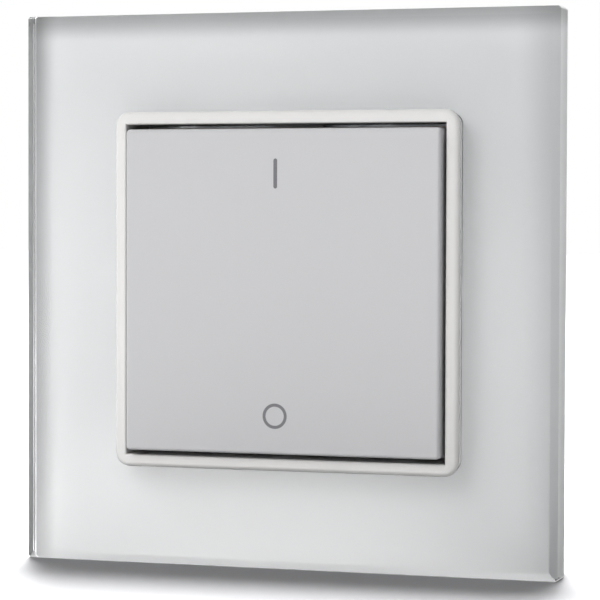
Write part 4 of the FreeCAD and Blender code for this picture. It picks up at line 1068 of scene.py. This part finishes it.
class DIMMER_OT_stage(Operator):
    """Sets the floor, the surroundings, the lamps and the camera"""
    bl_idname = "dimmer.stage"
    bl_label = "Stage"

    def execute(self, context):
        studio = context.scene.dimmer_studio
        self.add_floor(studio)
        self.add_surroundings(context, studio)
        self.add_lamps(context, studio)
        self.add_camera(context, studio)
        context.scene.view_settings.view_transform = "Standard"
        return {"FINISHED"}

    def add_floor(self, studio):
        """The floor. Gloss shows the surroundings in its place."""
        deselect_all()
        bpy.ops.mesh.primitive_plane_add(size=FLOOR_SIDE, location=(0, 0, FLOOR_LEVEL))
        apply_place()
        floor = bpy.context.object
        floor.name = "floor"
        floor.visible_glossy = False
        floor.data.materials.append(self.floor_finish(studio))

    def floor_finish(self, studio):
        """A grey floor that keeps the shadow near the object and glows white further away."""
        material, wire, shader = new_finish("Floor")
        path = wire.add("LightPath").outputs
        bounced = wire.calc("GREATER_THAN", path["Diffuse Depth"], FIRST_BOUNCE)
        paper = wire.blend(bounced, opaque(studio.floor), opaque(studio.bounce))
        away = wire.vector("LENGTH", wire.add("TexCoord").outputs["Object"])["Value"]
        white = wire.span(away, WHITE_BEGINS, WHITE_FULL, LEAST_WHITE, 1.0)
        wire.fill(shader, {"Base Color": paper, "Roughness": 0.6, "Specular IOR Level": 0.1,
                           "Emission Color": WHITE,
                           "Emission Strength": wire.times(white, seen_directly(wire))})
        return material

    def add_surroundings(self, context, studio):
        """Soft light from all round, and what the camera, gloss and glass see instead of it."""
        world = bpy.data.worlds.new("Studio")
        context.scene.world = world
        world.use_nodes = True
        wire = Wiring(world.node_tree)
        direction = wire.add("TexCoord").outputs["Generated"]
        front = lobe(wire, direction, FRONT_PATCH, studio.front)
        rear = lobe(wire, direction, REAR_PATCH, studio.rear)
        lit = wire.plus(wire.plus(front, rear), studio.fill)
        behind = (180 + math.degrees(studio.azimuth), 0, *BACKDROP_RADII)
        backdrop = lobe(wire, direction, behind, 1.0 - studio.room)
        glow = lobe(wire, direction, GLOW_PATCH, studio.glow)
        low_glow = lobe(wire, direction, LOW_GLOW_PATCH, studio.low_glow)
        table = lobe(wire, direction, TABLE_PATCH, studio.table)
        mirrored = wire.plus(wire.plus(backdrop, glow), wire.plus(low_glow, table))
        mirrored = wire.plus(mirrored, studio.room)
        level = wire.blend(seen_directly(wire), lit, mirrored)
        camera_ray = wire.add("LightPath").outputs["Is Camera Ray"]
        wire.fill(world.node_tree.nodes["Background"],
                  {"Color": wire.blend(camera_ray, level, WHITE)})

    def add_lamps(self, context, studio):
        """A key lamp in front, a lamp above and behind, and one more for the floor alone."""
        only_floor = bpy.data.collections.new("Lit by the floor lamp")
        only_floor.objects.link(bpy.data.objects["floor"])
        key = self.add_lamp(context, "key_lamp", studio.key, *KEY_LAMP)
        key.visible_glossy = False
        self.add_lamp(context, "top_lamp", studio.top, *TOP_LAMP)
        floor_lamp = self.add_lamp(context, "floor_lamp", studio.floor_top, *FLOOR_LAMP)
        floor_lamp.light_linking.receiver_collection = only_floor

    def add_lamp(self, context, name, radiance, place, width, depth):
        """A rectangular lamp that looks at the origin and that the camera doesn't see."""
        data = bpy.data.lights.new(name, "AREA")
        data.shape = "RECTANGLE"
        data.size, data.size_y = width, depth
        # An area lamp's radiance is a quarter of its watts per square metre.
        data.energy = 4 * width * depth * radiance
        lamp = bpy.data.objects.new(name, data)
        context.scene.collection.objects.link(lamp)
        lamp.location = place
        lamp.rotation_mode = "QUATERNION"
        lamp.rotation_quaternion = (-place).to_track_quat("-Z", "Y")
        lamp.visible_camera = False
        return lamp

    def add_camera(self, context, studio):
        """The camera at the photograph's angle, with its slight roll."""
        data = bpy.data.cameras.new("camera")
        camera = bpy.data.objects.new("camera", data)
        context.scene.collection.objects.link(camera)
        context.scene.camera = camera
        back = heading(math.degrees(studio.azimuth), math.degrees(studio.elevation))
        camera.location = Vector(studio.target) + back * studio.distance
        camera.rotation_mode = "QUATERNION"
        aim = (-back).to_track_quat("-Z", "Y")
        camera.rotation_quaternion = aim @ Quaternion((0, 0, 1), studio.roll)
        data.lens = studio.lens
        data.clip_start = 0.01
        data.clip_end = 100


OPERATORS = (DIMMER_OT_glass, DIMMER_OT_front, DIMMER_OT_print, DIMMER_OT_mounting,
             DIMMER_OT_mechanism, DIMMER_OT_boards, DIMMER_OT_terminals, DIMMER_OT_stage)


class DIMMER_PT_panel(Panel):
    """Lists the operators and settings of the dimmer"""
    bl_idname = "DIMMER_PT_panel"
    bl_label = "Dimmer"
    bl_space_type = "VIEW_3D"
    bl_region_type = "UI"
    bl_category = "Dimmer"

    def draw(self, context):
        layout = self.layout
        for operator in OPERATORS:
            layout.operator(operator.bl_idname)
        for name, settings in SETTINGS.items():
            box = layout.box()
            box.label(text=name.replace("_", " "))
            for key in settings.__annotations__:
                box.prop(getattr(context.scene, name), key)


CLASSES = (*SETTINGS.values(), *OPERATORS, DIMMER_PT_panel)


def register():
    """Registers the classes and adds the settings to the scene."""
    for item in CLASSES:
        bpy.utils.register_class(item)
    for name, settings in SETTINGS.items():
        setattr(bpy.types.Scene, name, PointerProperty(type=settings))


def unregister():
    """Takes out what register put in."""
    for name in SETTINGS:
        delattr(bpy.types.Scene, name)
    for item in reversed(CLASSES):
        bpy.utils.unregister_class(item)


def main():
    """Makes every piece and the stage."""
    register()
    for operator in OPERATORS:
        module, name = operator.bl_idname.split(".")
        getattr(getattr(bpy.ops, module), name)()
    bpy.context.view_layer.update()


if __name__ == "__main__":
    main()
